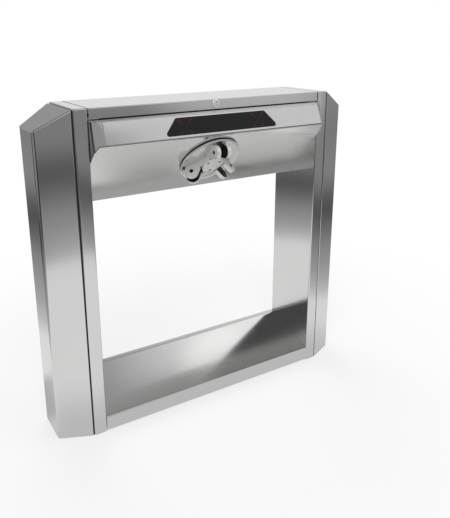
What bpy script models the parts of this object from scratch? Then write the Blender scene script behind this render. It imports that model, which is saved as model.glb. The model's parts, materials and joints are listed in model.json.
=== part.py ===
# Tripod turnstile, in metres, +Z up, front towards -Y.
# The origin is on the floor, below the middle of the cabinet.
import math

import bmesh
import bpy
from mathutils import Matrix, Vector

# Overall cabinet
LENGTH = 1.080
DEPTH = 0.216
HEIGHT = 1.000
SHEET = 0.002
BEND = 0.004
FOLD_LIMIT = 12.0
CLEAR = 0.0003
BEAM_SIDE_GAP = 0.0004

# End covers and posts
COVER_RUN = 0.1015
COVER_SETBACK = 0.044
COVER_DROP = 0.057
POST_WIDTH = 0.040
GROOVE = 0.0035
LIP = 0.015
GASKET_INSET = 0.0045
GASKET_WIDTH = 0.008

# Floor plates
PLATE = 0.006
PLATE_INSET = 0.0175
PLATE_SHOULDER = 0.0305
PLATE_TIP_GAP = 0.0073
ANCHOR_HOLE = 0.007
ANCHOR_INNER = (0.018, 0.072)
ANCHOR_OUTER = (0.020, 0.042)
CABLE_HOLE = (0.020, 0.015)

# Lower beam
BEAM_FLOOR_GAP = 0.004
BEAM_FRONT_TOP = 0.0485
BEAM_TOP = 0.1205
BEAM_SHELF = 0.024
RAIL_WEB = 0.004
RAIL_INSET = 0.010

# Front of the upper cabinet. A drop counts from the lid's top, a side from the
# panel's end and a reach from the posts' front. The cheeks' folds are (side, reach).
LEDGE_DROP = 0.0315
FACE_TOP_DROP = 0.0351
FACE_TOP_REACH = 0.0309
FACE_TOP_SIDE = 0.0259
FACE_BOTTOM_DROP = 0.0965
FACE_BOTTOM_REACH = 0.0547
FACE_BOTTOM_SIDE = 0.0239
CHEEK_TOP_FOLDS = ((0.0149, 0.0240), (0.0039, 0.0140))
CHEEK_BOTTOM_FOLDS = ((0.0119, 0.0410), (0.0029, 0.0240))
SEAM = 0.0005
FACE_RETURN = 0.012
DRIP_FLANGE = 0.0075
SIDE_FLANGE = 0.008
SLOPE_TOP_SETBACK = 0.0005
SLOPE_TOP_DROP = 0.1471
SLOPE_ANGLE = 47.6
CABINET_FLOOR_DROP = 0.2962
FLOOR_FLANGE = 0.016
FLANGE_NOTCH = 0.006
REAR_DROP = 0.012
REAR_RETURN = 0.012

# Lid, hinges and lock
LID_SIDE_GAP = 0.0006
LID_LIP = 0.0292
LID_FLANGE = 0.015
LID_FLANGE_STOP = 0.020
SEAL_SIDE = 0.010
HINGE_SIDE = 0.0379
HINGE_KNUCKLES = 9
KNUCKLE = 0.0035
LEAF = 0.0015
LEAF_LENGTH = 0.028
HINGE_PIN = 0.0013
LOCK_DROP = 0.0125
LOCK_ROSETTE = 0.012
LOCK_RIM = 0.0026
LOCK_BARREL = 0.0088
LOCK_CORE = 0.0056
LOCK_LENGTH = 0.014
LOCK_NUT = 0.0115
LOCK_NUT_WIDTH = 0.004
KEY_SLOT = (0.0006, 0.0032)
CAM_LENGTH = 0.021
CAM_TIP = 0.004

# Display in the front face
WINDOW_TOP_HALF = 0.154
WINDOW_BOTTOM_HALF = 0.198
WINDOW_TOP_DROP = 0.0063
WINDOW_BOTTOM_DROP = 0.0580
WINDOW_CORNER = 0.007
WINDOW_FLANGE = 0.003
WINDOW_PLATE = 0.0025
BOARD = 0.0016
LAMP_DEPTH = 0.0085
LAMP_BOARD = (0.150, 0.022)
LARGE_LAMP = (0.020, 0.016)
LARGE_LAMP_SPACING = 0.118
SMALL_LAMP = 0.012
SMALL_LAMP_SPACING = 0.040
SMALL_LAMP_GAP = 0.002
BOARD_STUD = 0.003
BOARD_STUD_INSET = 0.005

# Hub, measured from the panel's outer face along the hub's axis
HUB_DROP = 0.0534
DISC_RADIUS = 0.099
DISC_BACK = 0.0025
DISC_PLATE = 0.0025
DISC_RIM = 0.010
DISC_FLAT = 0.089
BOSS_RADIUS = 0.036
BOSS_TOP = 0.0205
CAP_TOP = 0.026
CAP_RADIUS = 0.034
PIVOT_RADIUS = 0.0691
PIVOT_HEIGHT = 0.0276
EAR_RADIUS = 0.021
EAR = 0.012
SLOT = 0.024
SLOT_FLOOR = 0.037
ARM_ANGLE = 42.4
PIVOT_HOLE = 0.006
HUB_SCREW_CIRCLE = 0.0245
SCREW_HEAD = 0.005

# Shaft and two-plate chassis behind the panel
SHAFT = 0.0125
SHAFT_FLANGE = 0.028
SHAFT_FLANGE_BACK = -0.004
SHAFT_COLLAR = 0.016
SHAFT_SINK = 0.0045
SHAFT_END = -0.131
SHAFT_NUT = 0.019
SHAFT_NUT_WIDTH = 0.0075
PANEL_HOLE = 0.030
CHASSIS_GAP = 0.012
CHASSIS_PLATE = 0.004
CHASSIS_SPAN = 0.072
CHASSIS_HALF = 0.142
CHASSIS_UP = 0.066
CHASSIS_DOWN = 0.112
PILLAR = 0.007
PILLAR_NECK = 0.005
PILLAR_INSET = 0.014
BEARING_RADIUS = 0.0235
BEARING_WIDTH = 0.012
HOUSING_FLANGE = 0.040
HOUSING_BARREL = 0.029
HOUSING_LENGTH = 0.016
HOUSING_PLATE = 0.006
HOUSING_MOUTH = 0.019
HOUSING_LIP = 0.0015
SHAFT_SEAT = 0.00035

# Damper gears
MODULE = 0.0025
WHEEL_TEETH = 45
PINION_TEETH = 15
PRESSURE_ANGLE = 25.0
ADDENDUM = 0.8
DEDENDUM = 1.1
BACKLASH = 0.00025
GEAR_WIDTH = 0.008
DAMPER_RADIUS = 0.024
DAMPER_LENGTH = 0.020
SPINDLE = 0.005
SPINDLE_COLLAR = 0.010
GEAR_TOP = -0.040
GEAR_HUB = 0.020
GEAR_HUB_END = -0.0497

# Locking wheel, pawls and solenoids
LOCK_NOTCHES = 12
LOCK_RADIUS = 0.055
NOTCH_DEPTH = 0.008
NOTCH_WIDTH = 0.014
NOTCH_FLOOR = 0.011
LOCK_WIDTH = 0.008
LOCK_TOP = -0.066
LOCK_HUB_END = -0.0797
PAWL_PIVOT = 0.082
PAWL_PIN = 0.004
PAWL_BOSS = 0.010
PAWL_TIP_RADIUS = 0.0505
PAWL_TOOTH = 0.006
PAWL_SWING = 10.0
PAWL_TAIL = 0.030
LINK_PIN = 0.0025
PLUNGER = 0.006
PLUNGER_ROD = 0.046
CLEVIS_WALL = 0.003
SOLENOID_WIDTH = 0.036
SOLENOID_LENGTH = 0.050
SOLENOID_DEPTH = 0.0394
SOLENOID_TOP = -0.026

# Position disc and sensor
CODE_RADIUS = 0.036
CODE_SLOTS = 12
CODE_WIDTH = 0.0015
CODE_TOOTH = 0.006
CODE_HUB = 0.016
CODE_HUB_LENGTH = 0.009
SENSOR_GAP = 0.0015
SENSOR_ARM = 0.004
SENSOR_REACH = 0.030

# Electronics on the rear panel, kept off its ends and above the cabinet's floor
ELECTRONICS_SIDE = 0.0729
ELECTRONICS_RISE = 0.0612
BOARD_STANDOFF = 0.008
BOARD_SIZE = (0.160, 0.110)
SUPPLY_SIZE = (0.160, 0.095)
SUPPLY_DEPTH = 0.038
STANDOFF = 0.003
STANDOFF_INSET = (0.006, 0.006)
# Terminal blocks, a processor and a relay as (x, z, width, height, depth)
BOARD_PARTS = (
    (0.015, 0.012, 0.020, 0.016, 0.016),
    (0.041, 0.012, 0.020, 0.016, 0.016),
    (0.067, 0.012, 0.020, 0.016, 0.016),
    (0.015, 0.086, 0.120, 0.012, 0.012),
    (0.050, 0.045, 0.026, 0.026, 0.003),
    (0.121, 0.030, 0.028, 0.034, 0.020),
)
# Capacitors as (x, z, radius, depth)
BOARD_CANS = ((0.097, 0.068, 0.006, 0.018), (0.112, 0.068, 0.006, 0.018))

HALF = LENGTH / 2
COVER_X = HALF - COVER_RUN
POST_X = COVER_X - POST_WIDTH
FRONT = -DEPTH / 2
REAR = DEPTH / 2
INNER_X = POST_X - BEAM_SIDE_GAP
PANEL_X = POST_X - LID_SIDE_GAP
LEDGE_REAR_Z = HEIGHT - LEDGE_DROP
FACE_TOP = Vector((PANEL_X - FACE_TOP_SIDE, FRONT - FACE_TOP_REACH, HEIGHT - FACE_TOP_DROP))
FACE_BOTTOM = Vector((PANEL_X - FACE_BOTTOM_SIDE, FRONT - FACE_BOTTOM_REACH, HEIGHT - FACE_BOTTOM_DROP))
CHEEK_TOP = tuple((PANEL_X - side, FRONT - reach) for side, reach in CHEEK_TOP_FOLDS)
CHEEK_BOTTOM = tuple((PANEL_X - side, FRONT - reach) for side, reach in CHEEK_BOTTOM_FOLDS)
SLOPE_TOP = Vector((0.0, FRONT + SLOPE_TOP_SETBACK, HEIGHT - SLOPE_TOP_DROP))
CABINET_FLOOR = HEIGHT - CABINET_FLOOR_DROP
REAR_TOP = HEIGHT - REAR_DROP
LOCK_Z = HEIGHT - LOCK_DROP
CHASSIS_FRONT = -SHEET - CHASSIS_GAP
CHASSIS_REAR = CHASSIS_FRONT - CHASSIS_PLATE - CHASSIS_SPAN
GEAR_DISTANCE = MODULE * (WHEEL_TEETH + PINION_TEETH) / 2
SLOPE_DOWN = Vector((0.0, math.cos(math.radians(SLOPE_ANGLE)), -math.sin(math.radians(SLOPE_ANGLE))))
HUB_CENTRE = SLOPE_TOP + SLOPE_DOWN * HUB_DROP
HINGE_HALF = PANEL_X - HINGE_SIDE
HINGE_Y = REAR - SHEET - CLEAR - KNUCKLE
HINGE_Z = HEIGHT - SHEET - CLEAR - KNUCKLE

finishes = {}
frames = {}


def finish(name, colour, roughness, metallic):
    material = bpy.data.materials.new(name)
    material.use_nodes = True
    shader = material.node_tree.nodes["Principled BSDF"]
    shader.inputs["Base Color"].default_value = (*colour, 1.0)
    shader.inputs["Roughness"].default_value = roughness
    shader.inputs["Metallic"].default_value = metallic
    material.diffuse_color = (*colour, 1.0)
    finishes[name] = material


def frame(name, location, rotation=(0.0, 0.0, 0.0), parent=None):
    empty = bpy.data.objects.new(name, None)
    empty.location = location
    empty.rotation_euler = rotation
    empty.parent = parent
    bpy.context.scene.collection.objects.link(empty)
    bpy.context.view_layer.update()
    frames[name] = empty
    return empty


def settle(name, bm, material, parent=None, world=False):
    # Points given in world space are brought into the parent's frame here.
    if parent and world:
        bm.transform(parent.matrix_world.inverted())
    mesh = bpy.data.meshes.new(name)
    bm.to_mesh(mesh)
    bm.free()
    obj = bpy.data.objects.new(name, mesh)
    obj.parent = parent
    mesh.materials.append(finishes[material])
    bpy.context.scene.collection.objects.link(obj)
    return obj


def smooth(obj, angle=35.0):
    obj.data.shade_smooth()
    obj.data.set_sharp_from_angle(angle=math.radians(angle))
    return obj


def circle(radius, count, centre=(0.0, 0.0), start=0.0, sweep=360.0):
    # A full circle leaves out its repeated last point.
    steps = count if sweep >= 360.0 else count - 1
    points = []
    for i in range(count):
        angle = math.radians(start + sweep * i / steps)
        points.append((centre[0] + radius * math.cos(angle), centre[1] + radius * math.sin(angle)))
    return points


def rounded(corners, radius, steps=4):
    # Each corner of a closed outline becomes an arc.
    points = []
    count = len(corners)
    for i in range(count):
        corner = Vector(corners[i])
        before = (Vector(corners[i - 1]) - corner).normalized()
        after = (Vector(corners[(i + 1) % count]) - corner).normalized()
        half = before.angle(after) / 2
        centre = corner + (before + after).normalized() * (radius / math.sin(half))
        first = corner + before * (radius / math.tan(half)) - centre
        last = corner + after * (radius / math.tan(half)) - centre
        for k in range(steps + 1):
            arm = first.lerp(last, k / steps).normalized() * radius
            points.append(tuple(centre + arm))
    return points


def loft(bm, sections):
    # Closed solid through outlines of equal count, with flat caps.
    rings = [[bm.verts.new(p) for p in section] for section in sections]
    count = len(rings[0])
    for low, high in zip(rings, rings[1:]):
        for i in range(count):
            j = (i + 1) % count
            bm.faces.new((low[i], low[j], high[j], high[i]))
    bm.faces.new(list(reversed(rings[0])))
    bm.faces.new(rings[-1])
    bmesh.ops.recalc_face_normals(bm, faces=bm.faces[:])


def plate(bm, outline, low, high, axes="xyz"):
    # The outline lies in the first two axes and is extruded along the third.
    order = ["xyz".index(a) for a in axes]
    sections = []
    for level in (low, high):
        section = []
        for u, v in outline:
            point = [0.0, 0.0, 0.0]
            point[order[0]], point[order[1]], point[order[2]] = u, v, level
            section.append(point)
        sections.append(section)
    part = bmesh.new()
    loft(part, sections)
    add(bm, part)


def add(bm, part, matrix=None):
    if matrix:
        part.transform(matrix)
    mesh = bpy.data.meshes.new("piece")
    part.to_mesh(mesh)
    part.free()
    bm.from_mesh(mesh)
    bpy.data.meshes.remove(mesh)


def turn(bm, profile, segments, matrix=None):
    # A closed outline of (radius, height) points, turned about Z.
    part = bmesh.new()
    rings = []
    for radius, height in profile:
        if radius < 1e-9:
            rings.append([part.verts.new((0.0, 0.0, height))])
        else:
            rings.append([part.verts.new((x, y, height)) for x, y in circle(radius, segments)])
    for k, ring in enumerate(rings):
        following = rings[(k + 1) % len(rings)]
        if len(ring) == 1 and len(following) == 1:
            continue
        for i in range(segments):
            j = (i + 1) % segments
            corners = [ring[i % len(ring)], ring[j % len(ring)]]
            corners += [following[j % len(following)], following[i % len(following)]]
            part.faces.new(list(dict.fromkeys(corners)))
    bmesh.ops.recalc_face_normals(part, faces=part.faces[:])
    add(bm, part, matrix)


def box(bm, low, high):
    outline = [(low[0], low[1]), (high[0], low[1]), (high[0], high[1]), (low[0], high[1])]
    plate(bm, outline, low[2], high[2])


def along(point, direction):
    # Matrix that lays local Z along a direction, with its origin at a point.
    return Matrix.Translation(point) @ Vector(direction).to_track_quat("Z", "Y").to_matrix().to_4x4()


def sheet(name, corners, faces, outward, material="brushed", parent=None, bend=BEND):
    # A folded sheet: bent surface, rounded at its folds, thickened inwards.
    # The first face's outer side looks along the outward direction.
    bm = bmesh.new()
    verts = [bm.verts.new(c) for c in corners]
    for face in faces:
        bm.faces.new([verts[i] for i in face])
    bmesh.ops.recalc_face_normals(bm, faces=bm.faces[:])
    bm.faces.ensure_lookup_table()
    if bm.faces[0].normal.dot(Vector(outward)) < 0:
        bmesh.ops.reverse_faces(bm, faces=bm.faces[:])
    obj = settle(name, bm, material, parent, world=True)
    bevel = obj.modifiers.new("folds", "BEVEL")
    bevel.limit_method = "ANGLE"
    bevel.angle_limit = math.radians(FOLD_LIMIT)
    bevel.width = bend
    bevel.segments = 3
    wall = obj.modifiers.new("wall", "SOLIDIFY")
    wall.thickness = SHEET
    wall.offset = -1.0
    wall.use_even_offset = True
    wall.use_quality_normals = True
    return smooth(obj)


def strip(name, path, ends, outward, **options):
    # A sheet folded along X. Each (y, z) of the path has its own half length.
    corners = []
    for (y, z), half in zip(path, ends):
        corners += [(-half, y, z), (half, y, z)]
    faces = []
    for i in range(len(path) - 1):
        faces.append((2 * i, 2 * i + 1, 2 * i + 3, 2 * i + 2))
    return sheet(name, corners, faces, outward, **options)


def carve(target, name, bm, operation="DIFFERENCE", parent=None, world=False):
    cutter = settle(name, bm, "steel", parent, world)
    cutter.hide_render = True
    cutter.display_type = "WIRE"
    modifier = target.modifiers.new(name, "BOOLEAN")
    modifier.operation = operation
    modifier.solver = "EXACT"
    modifier.object = cutter
    return modifier


def mirrored(points, side):
    return [(side * p[0], p[1], p[2]) for p in points]


def cover_edge(x):
    # Front or rear half depth of the end cover's outer face at an X.
    return REAR - (x - COVER_X) * COVER_SETBACK / COVER_RUN


def cover_height(x):
    return HEIGHT - (x - COVER_X) * COVER_DROP / COVER_RUN


def build_posts():
    for side, word in ((-1, "left"), (1, "right")):
        corners = mirrored([
            (POST_X, FRONT, 0.0), (COVER_X, FRONT, 0.0), (COVER_X, FRONT, HEIGHT), (POST_X, FRONT, HEIGHT),
            (POST_X, REAR, 0.0), (COVER_X, REAR, 0.0), (COVER_X, REAR, HEIGHT), (POST_X, REAR, HEIGHT),
            (COVER_X, FRONT + LIP, 0.0), (COVER_X, FRONT + LIP, HEIGHT - LIP),
            (COVER_X, REAR - LIP, 0.0), (COVER_X, REAR - LIP, HEIGHT - LIP),
        ], side)
        faces = [(0, 1, 2, 3), (0, 3, 7, 4), (4, 7, 6, 5), (3, 2, 6, 7)]
        faces += [(1, 8, 9, 2), (5, 6, 11, 10), (2, 9, 11, 6)]
        sheet(word + "_post", corners, faces, (0, -1, 0))


def build_end_covers():
    inner = COVER_X + GROOVE
    edge = cover_edge(inner)
    outer = cover_edge(HALF)
    high = cover_height(inner)
    low = cover_height(HALF)
    for side, word in ((-1, "left"), (1, "right")):
        corners = mirrored([
            (inner, -edge, 0.0), (HALF, -outer, 0.0), (HALF, -outer, low), (inner, -edge, high),
            (HALF, outer, 0.0), (HALF, outer, low), (inner, edge, 0.0), (inner, edge, high),
            (inner, -edge + LIP, 0.0), (inner, -edge + LIP, high - LIP),
            (inner, edge - LIP, 0.0), (inner, edge - LIP, high - LIP),
        ], side)
        faces = [(0, 1, 2, 3), (1, 4, 5, 2), (4, 6, 7, 5), (3, 2, 5, 7)]
        faces += [(0, 3, 9, 8), (6, 10, 11, 7), (3, 7, 11, 9)]
        sheet(word + "_end_cover", corners, faces, (0, -1, 0))


def build_gaskets():
    out = REAR - GASKET_INSET
    inn = out - GASKET_WIDTH
    top = HEIGHT - GASKET_INSET - SHEET
    outline = [(-out, CLEAR), (-inn, CLEAR), (-inn, top - GASKET_WIDTH), (inn, top - GASKET_WIDTH),
               (inn, CLEAR), (out, CLEAR), (out, top), (-out, top)]
    for side, word in ((-1, "left"), (1, "right")):
        bm = bmesh.new()
        ends = sorted((side * (COVER_X + CLEAR), side * (COVER_X + GROOVE - CLEAR)))
        plate(bm, outline, ends[0], ends[1], "yzx")
        settle(word + "_gasket", bm, "rubber")


def build_floor_plates():
    near = POST_X + SHEET + CLEAR
    shoulder = COVER_X + PLATE_SHOULDER
    far = HALF - SHEET - CLEAR
    tip = cover_edge(far) - PLATE_TIP_GAP
    wide = REAR - PLATE_INSET
    middle = (near + far) / 2
    holes = [(near + ANCHOR_INNER[0], way * ANCHOR_INNER[1]) for way in (1, -1)]
    holes += [(far - ANCHOR_OUTER[0], way * ANCHOR_OUTER[1]) for way in (1, -1)]
    for side, word in ((-1, "left"), (1, "right")):
        half = [(near, -wide), (shoulder, -wide), (far, -tip), (far, tip), (shoulder, wide), (near, wide)]
        bm = bmesh.new()
        plate(bm, [(side * x, y) for x, y in half], 0.0, PLATE)
        floor = settle(word + "_base_plate", bm, "steel")
        bm = bmesh.new()
        for x, y in holes:
            plate(bm, circle(ANCHOR_HOLE, 16, (side * x, y)), -PLATE, 2 * PLATE)
        long, deep = CABLE_HOLE
        box(bm, (side * middle - long, -deep, -PLATE), (side * middle + long, deep, 2 * PLATE))
        carve(floor, word + "_plate_holes", bm)


def tube(bm, outer, inner, height):
    # Open-ended tube between two outlines, raised along Z.
    lift = Vector((0.0, 0.0, height))
    rings = [[bm.verts.new(p) for p in outer], [bm.verts.new(p) for p in inner]]
    for outline in (inner, outer):
        rings.append([bm.verts.new(Vector(p) + lift) for p in outline])
    count = len(outer)
    for k in range(4):
        low, high = rings[k], rings[(k + 1) % 4]
        for i in range(count):
            j = (i + 1) % count
            bm.faces.new((low[i], low[j], high[j], high[i]))
    bmesh.ops.recalc_face_normals(bm, faces=bm.faces[:])


def build_lower_beam():
    shelf = REAR - BEAM_SHELF
    path = [(FRONT, BEAM_FLOOR_GAP), (FRONT, BEAM_FRONT_TOP), (shelf, BEAM_TOP), (REAR, BEAM_TOP),
            (REAR, BEAM_FLOOR_GAP)]
    strip("lower_beam_cover", path, [INNER_X] * len(path), (0, -1, 0))
    slope = (BEAM_TOP - BEAM_FRONT_TOP) / (shelf - FRONT)
    wall = SHEET * math.sqrt(1 + slope * slope)
    front_top = BEAM_FRONT_TOP + RAIL_INSET * slope - wall - CLEAR
    rear_top = BEAM_TOP - SHEET - CLEAR
    outer = REAR - RAIL_INSET
    inner = outer - RAIL_WEB
    outline = [(-outer, 0.0), (outer, 0.0), (outer, rear_top), (inner, rear_top),
               (inner, RAIL_WEB), (-inner, RAIL_WEB), (-inner, front_top), (-outer, front_top)]
    bm = bmesh.new()
    plate(bm, outline, -INNER_X, INNER_X, "yzx")
    settle("base_rail", bm, "steel")


def slope_height(y):
    # Outer face of the sloped panel. Its straight part starts at the first cheek fold.
    return SLOPE_TOP.z - (y - SLOPE_TOP.y) * math.tan(math.radians(SLOPE_ANGLE))


def ledge_height(y):
    share = (y - FRONT) / (FACE_TOP.y - FRONT)
    return LEDGE_REAR_Z + share * (FACE_TOP.z - LEDGE_REAR_Z)


def build_fascia():
    side_y = FRONT + SIDE_FLANGE
    top = [(INNER_X, FRONT, LEDGE_REAR_Z)]
    top += [(x, y, ledge_height(y)) for x, y in reversed(CHEEK_TOP)] + [tuple(FACE_TOP)]
    above = SEAM + SHEET / math.cos(math.radians(SLOPE_ANGLE))
    low = [(INNER_X, FRONT, slope_height(FRONT) + above)]
    low += [(x, y, slope_height(y) + above) for x, y in CHEEK_BOTTOM[1:]]
    low += [(*CHEEK_BOTTOM[0], slope_height(CHEEK_BOTTOM[0][1]) + above), tuple(FACE_BOTTOM)]
    extra = [
        (INNER_X, side_y, LEDGE_REAR_Z), (INNER_X, side_y, LEDGE_REAR_Z + DRIP_FLANGE),
        (INNER_X, side_y, low[0][2] + FLANGE_NOTCH),
        (FACE_BOTTOM.x - FACE_RETURN, FACE_BOTTOM.y + FACE_RETURN, FACE_BOTTOM.z),
    ]
    right = top + low + extra
    corners = right + mirrored(right, -1)
    m = len(right)
    faces = [(3, 7, 7 + m, 3 + m), (0, 1, 2, 3, 3 + m, 2 + m, 1 + m, m), (0, m, 8 + m, 8),
             (8, 8 + m, 9 + m, 9), (7, 11, 11 + m, 7 + m)]
    for k in (0, m):
        for face in ((0, 1, 5, 4), (1, 2, 6, 5), (2, 3, 7, 6), (0, 4, 10, 8)):
            faces.append([i + k for i in face])
    fascia = sheet("fascia", corners, faces, (0, -1, 0), bend=0.003)
    bm = bmesh.new()
    plate(bm, window_outline(0.0), -0.01, 0.01)
    carve(fascia, "window_cut", bm, parent=frames["face_frame"])


def window_outline(grow):
    # All four sides of the trapezoid move out by the same distance.
    lean = (WINDOW_BOTTOM_HALF - WINDOW_TOP_HALF) / (WINDOW_BOTTOM_DROP - WINDOW_TOP_DROP)
    wider = grow * math.sqrt(1 + lean * lean)
    low_half = WINDOW_BOTTOM_HALF + wider + grow * lean
    high_half = WINDOW_TOP_HALF + wider - grow * lean
    low = -WINDOW_BOTTOM_DROP - grow
    high = -WINDOW_TOP_DROP + grow
    corners = [(-low_half, low), (low_half, low), (high_half, high), (-high_half, high)]
    return rounded(corners, WINDOW_CORNER)


def build_display():
    face = frames["face_frame"]
    seat = -SHEET - CLEAR
    back = seat - WINDOW_PLATE
    flange = window_outline(WINDOW_FLANGE)
    pane = window_outline(-CLEAR)
    bm = bmesh.new()
    levels = ((flange, back), (flange, seat), (pane, seat), (pane, -CLEAR))
    loft(bm, [[(x, y, z) for x, y in outline] for outline, z in levels])
    settle("display_window", bm, "black_gloss", face)

    board_front = back - CLEAR - LAMP_DEPTH - CLEAR
    middle = -(WINDOW_TOP_DROP + WINDOW_BOTTOM_DROP) / 2
    bm = bmesh.new()
    half, tall = LAMP_BOARD
    box(bm, (-half, middle - tall, board_front - BOARD), (half, middle + tall, board_front))
    board = settle("display_board", bm, "circuit", face)

    sunk = board_front - BOARD / 2
    bm = bmesh.new()
    for x in (-LARGE_LAMP_SPACING, LARGE_LAMP_SPACING):
        wide, high = LARGE_LAMP
        box(bm, (x - wide, middle - high, sunk), (x + wide, middle + high, back - CLEAR))
    for x in (-SMALL_LAMP_SPACING, 0.0, SMALL_LAMP_SPACING):
        low = (x - SMALL_LAMP, middle - SMALL_LAMP, sunk)
        box(bm, low, (x + SMALL_LAMP, middle + SMALL_LAMP, back - SMALL_LAMP_GAP))
    for x in (BOARD_STUD_INSET - half, half - BOARD_STUD_INSET):
        for y in (middle - tall + BOARD_STUD_INSET, middle + tall - BOARD_STUD_INSET):
            plate(bm, circle(BOARD_STUD, 8, (x, y)), sunk, back - CLEAR)
    carve(board, "indicator_modules", bm, "UNION", face)


def build_sloped_panel():
    floor_y = SLOPE_TOP.y + (SLOPE_TOP.z - CABINET_FLOOR) / math.tan(math.radians(SLOPE_ANGLE))
    inner_rear = REAR - SHEET - CLEAR
    path = [(FACE_BOTTOM.y, FACE_BOTTOM.z - SEAM - 1.03 * SHEET)]
    ends = [FACE_BOTTOM.x]
    for x, y in CHEEK_BOTTOM + ((PANEL_X, FRONT),):
        path.append((y, slope_height(y)))
        ends.append(x)
    path += [(floor_y, CABINET_FLOOR), (inner_rear, CABINET_FLOOR)]
    path += [(inner_rear, CABINET_FLOOR + FLOOR_FLANGE)]
    ends += [PANEL_X, PANEL_X, PANEL_X]
    panel = strip("sloped_panel", path, ends, (0, 0, -1), bend=0.003)
    bm = bmesh.new()
    plate(bm, circle(PANEL_HOLE, 32), -0.02, 0.02)
    carve(panel, "shaft_hole", bm, parent=frames["hub_axis"])


def build_rear_panel():
    low = CABINET_FLOOR + CLEAR
    notch = low + FLOOR_FLANGE + FLANGE_NOTCH
    back = REAR - REAR_RETURN
    corners = [(-PANEL_X, REAR, low), (PANEL_X, REAR, low)]
    corners += [(PANEL_X, REAR, REAR_TOP), (-PANEL_X, REAR, REAR_TOP)]
    for x in (-PANEL_X, PANEL_X):
        corners += [(x, back, notch), (x, back, REAR_TOP), (x, REAR, notch)]
    faces = [(0, 1, 9, 2, 3, 6), (6, 3, 5, 4), (9, 7, 8, 2)]
    sheet("rear_panel", corners, faces, (0, 1, 0), bend=0.003)


def build_lid():
    lid = frames["lid_axis"]
    edge = REAR - CLEAR
    lip = HEIGHT - LID_LIP
    side_low = HEIGHT - LID_FLANGE
    stop = REAR - LID_FLANGE_STOP
    corners = [(-PANEL_X, FRONT, HEIGHT), (PANEL_X, FRONT, HEIGHT), (PANEL_X, edge, HEIGHT)]
    corners += [(-PANEL_X, edge, HEIGHT), (-PANEL_X, FRONT, lip), (PANEL_X, FRONT, lip)]
    for x in (-PANEL_X, PANEL_X):
        corners += [(x, stop, HEIGHT), (x, stop, side_low), (x, FRONT, side_low)]
    faces = [(0, 1, 9, 2, 3, 6), (0, 8, 4, 5, 11, 1), (0, 6, 7, 8), (1, 11, 10, 9)]
    cover = sheet("lid_cover", corners, faces, (0, 0, 1), parent=lid, bend=0.003)
    bm = bmesh.new()
    turn(bm, [(0, -0.01), (LOCK_BARREL + CLEAR, -0.01), (LOCK_BARREL + CLEAR, 0.01), (0, 0.01)], 24,
         along((0, FRONT, LOCK_Z), (0, 1, 0)))
    carve(cover, "lock_cut", bm, parent=lid, world=True)
    bm = bmesh.new()
    half = FACE_TOP.x - SEAL_SIDE
    low = (-half, FRONT + SEAM, LEDGE_REAR_Z + CLEAR)
    box(bm, low, (half, FRONT + SIDE_FLANGE - SHEET, lip - CLEAR))
    settle("lid_seal", bm, "rubber")


def eye_outline():
    # A leaf that hangs from its knuckle, as (y, z) from the pin.
    inner = KNUCKLE - LEAF
    stop = 360.0 - math.degrees(math.acos(inner / KNUCKLE))
    return [(KNUCKLE, -LEAF_LENGTH)] + circle(KNUCKLE, 13, sweep=stop) + [(inner, -LEAF_LENGTH)]


def build_hinge():
    # The two leaves take turns along the pin. The lid's leaf lies flat under its sheet.
    lid = frames["lid_axis"]
    step = 2 * HINGE_HALF / HINGE_KNUCKLES
    reach = KNUCKLE + CLEAR + 0.0001
    hanging = eye_outline()
    lying = [(z, y) for y, z in hanging]
    leaves = (("hinge_fixed_leaf", hanging, None, 0), ("hinge_moving_leaf", lying, lid, 1))
    for name, outline, parent, first in leaves:
        bm = bmesh.new()
        plate(bm, [(y + HINGE_Y, z + HINGE_Z) for y, z in outline], -HINGE_HALF, HINGE_HALF, "yzx")
        leaf = settle(name, bm, "steel", parent, world=True)
        bm = bmesh.new()
        for k in range(first, HINGE_KNUCKLES, 2):
            low = k * step - HINGE_HALF - CLEAR / 2
            high = low + step + CLEAR
            low -= 0.01 if k == 0 else 0.0
            high += 0.01 if k == HINGE_KNUCKLES - 1 else 0.0
            box(bm, (low, HINGE_Y - reach, HINGE_Z - reach), (high, HINGE_Y + reach, HINGE_Z + reach))
        carve(leaf, name + "_gaps", bm, parent=parent, world=True)
        bm = bmesh.new()
        bore = circle(HINGE_PIN + CLEAR, 12, (HINGE_Y, HINGE_Z))
        plate(bm, bore, -HINGE_HALF - 0.02, HINGE_HALF + 0.02, "yzx")
        carve(leaf, name + "_bore", bm, parent=parent, world=True)
    bm = bmesh.new()
    plate(bm, circle(HINGE_PIN, 10, (HINGE_Y, HINGE_Z)), -HINGE_HALF, HINGE_HALF, "yzx")
    settle("hinge_pin", bm, "steel")


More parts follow.
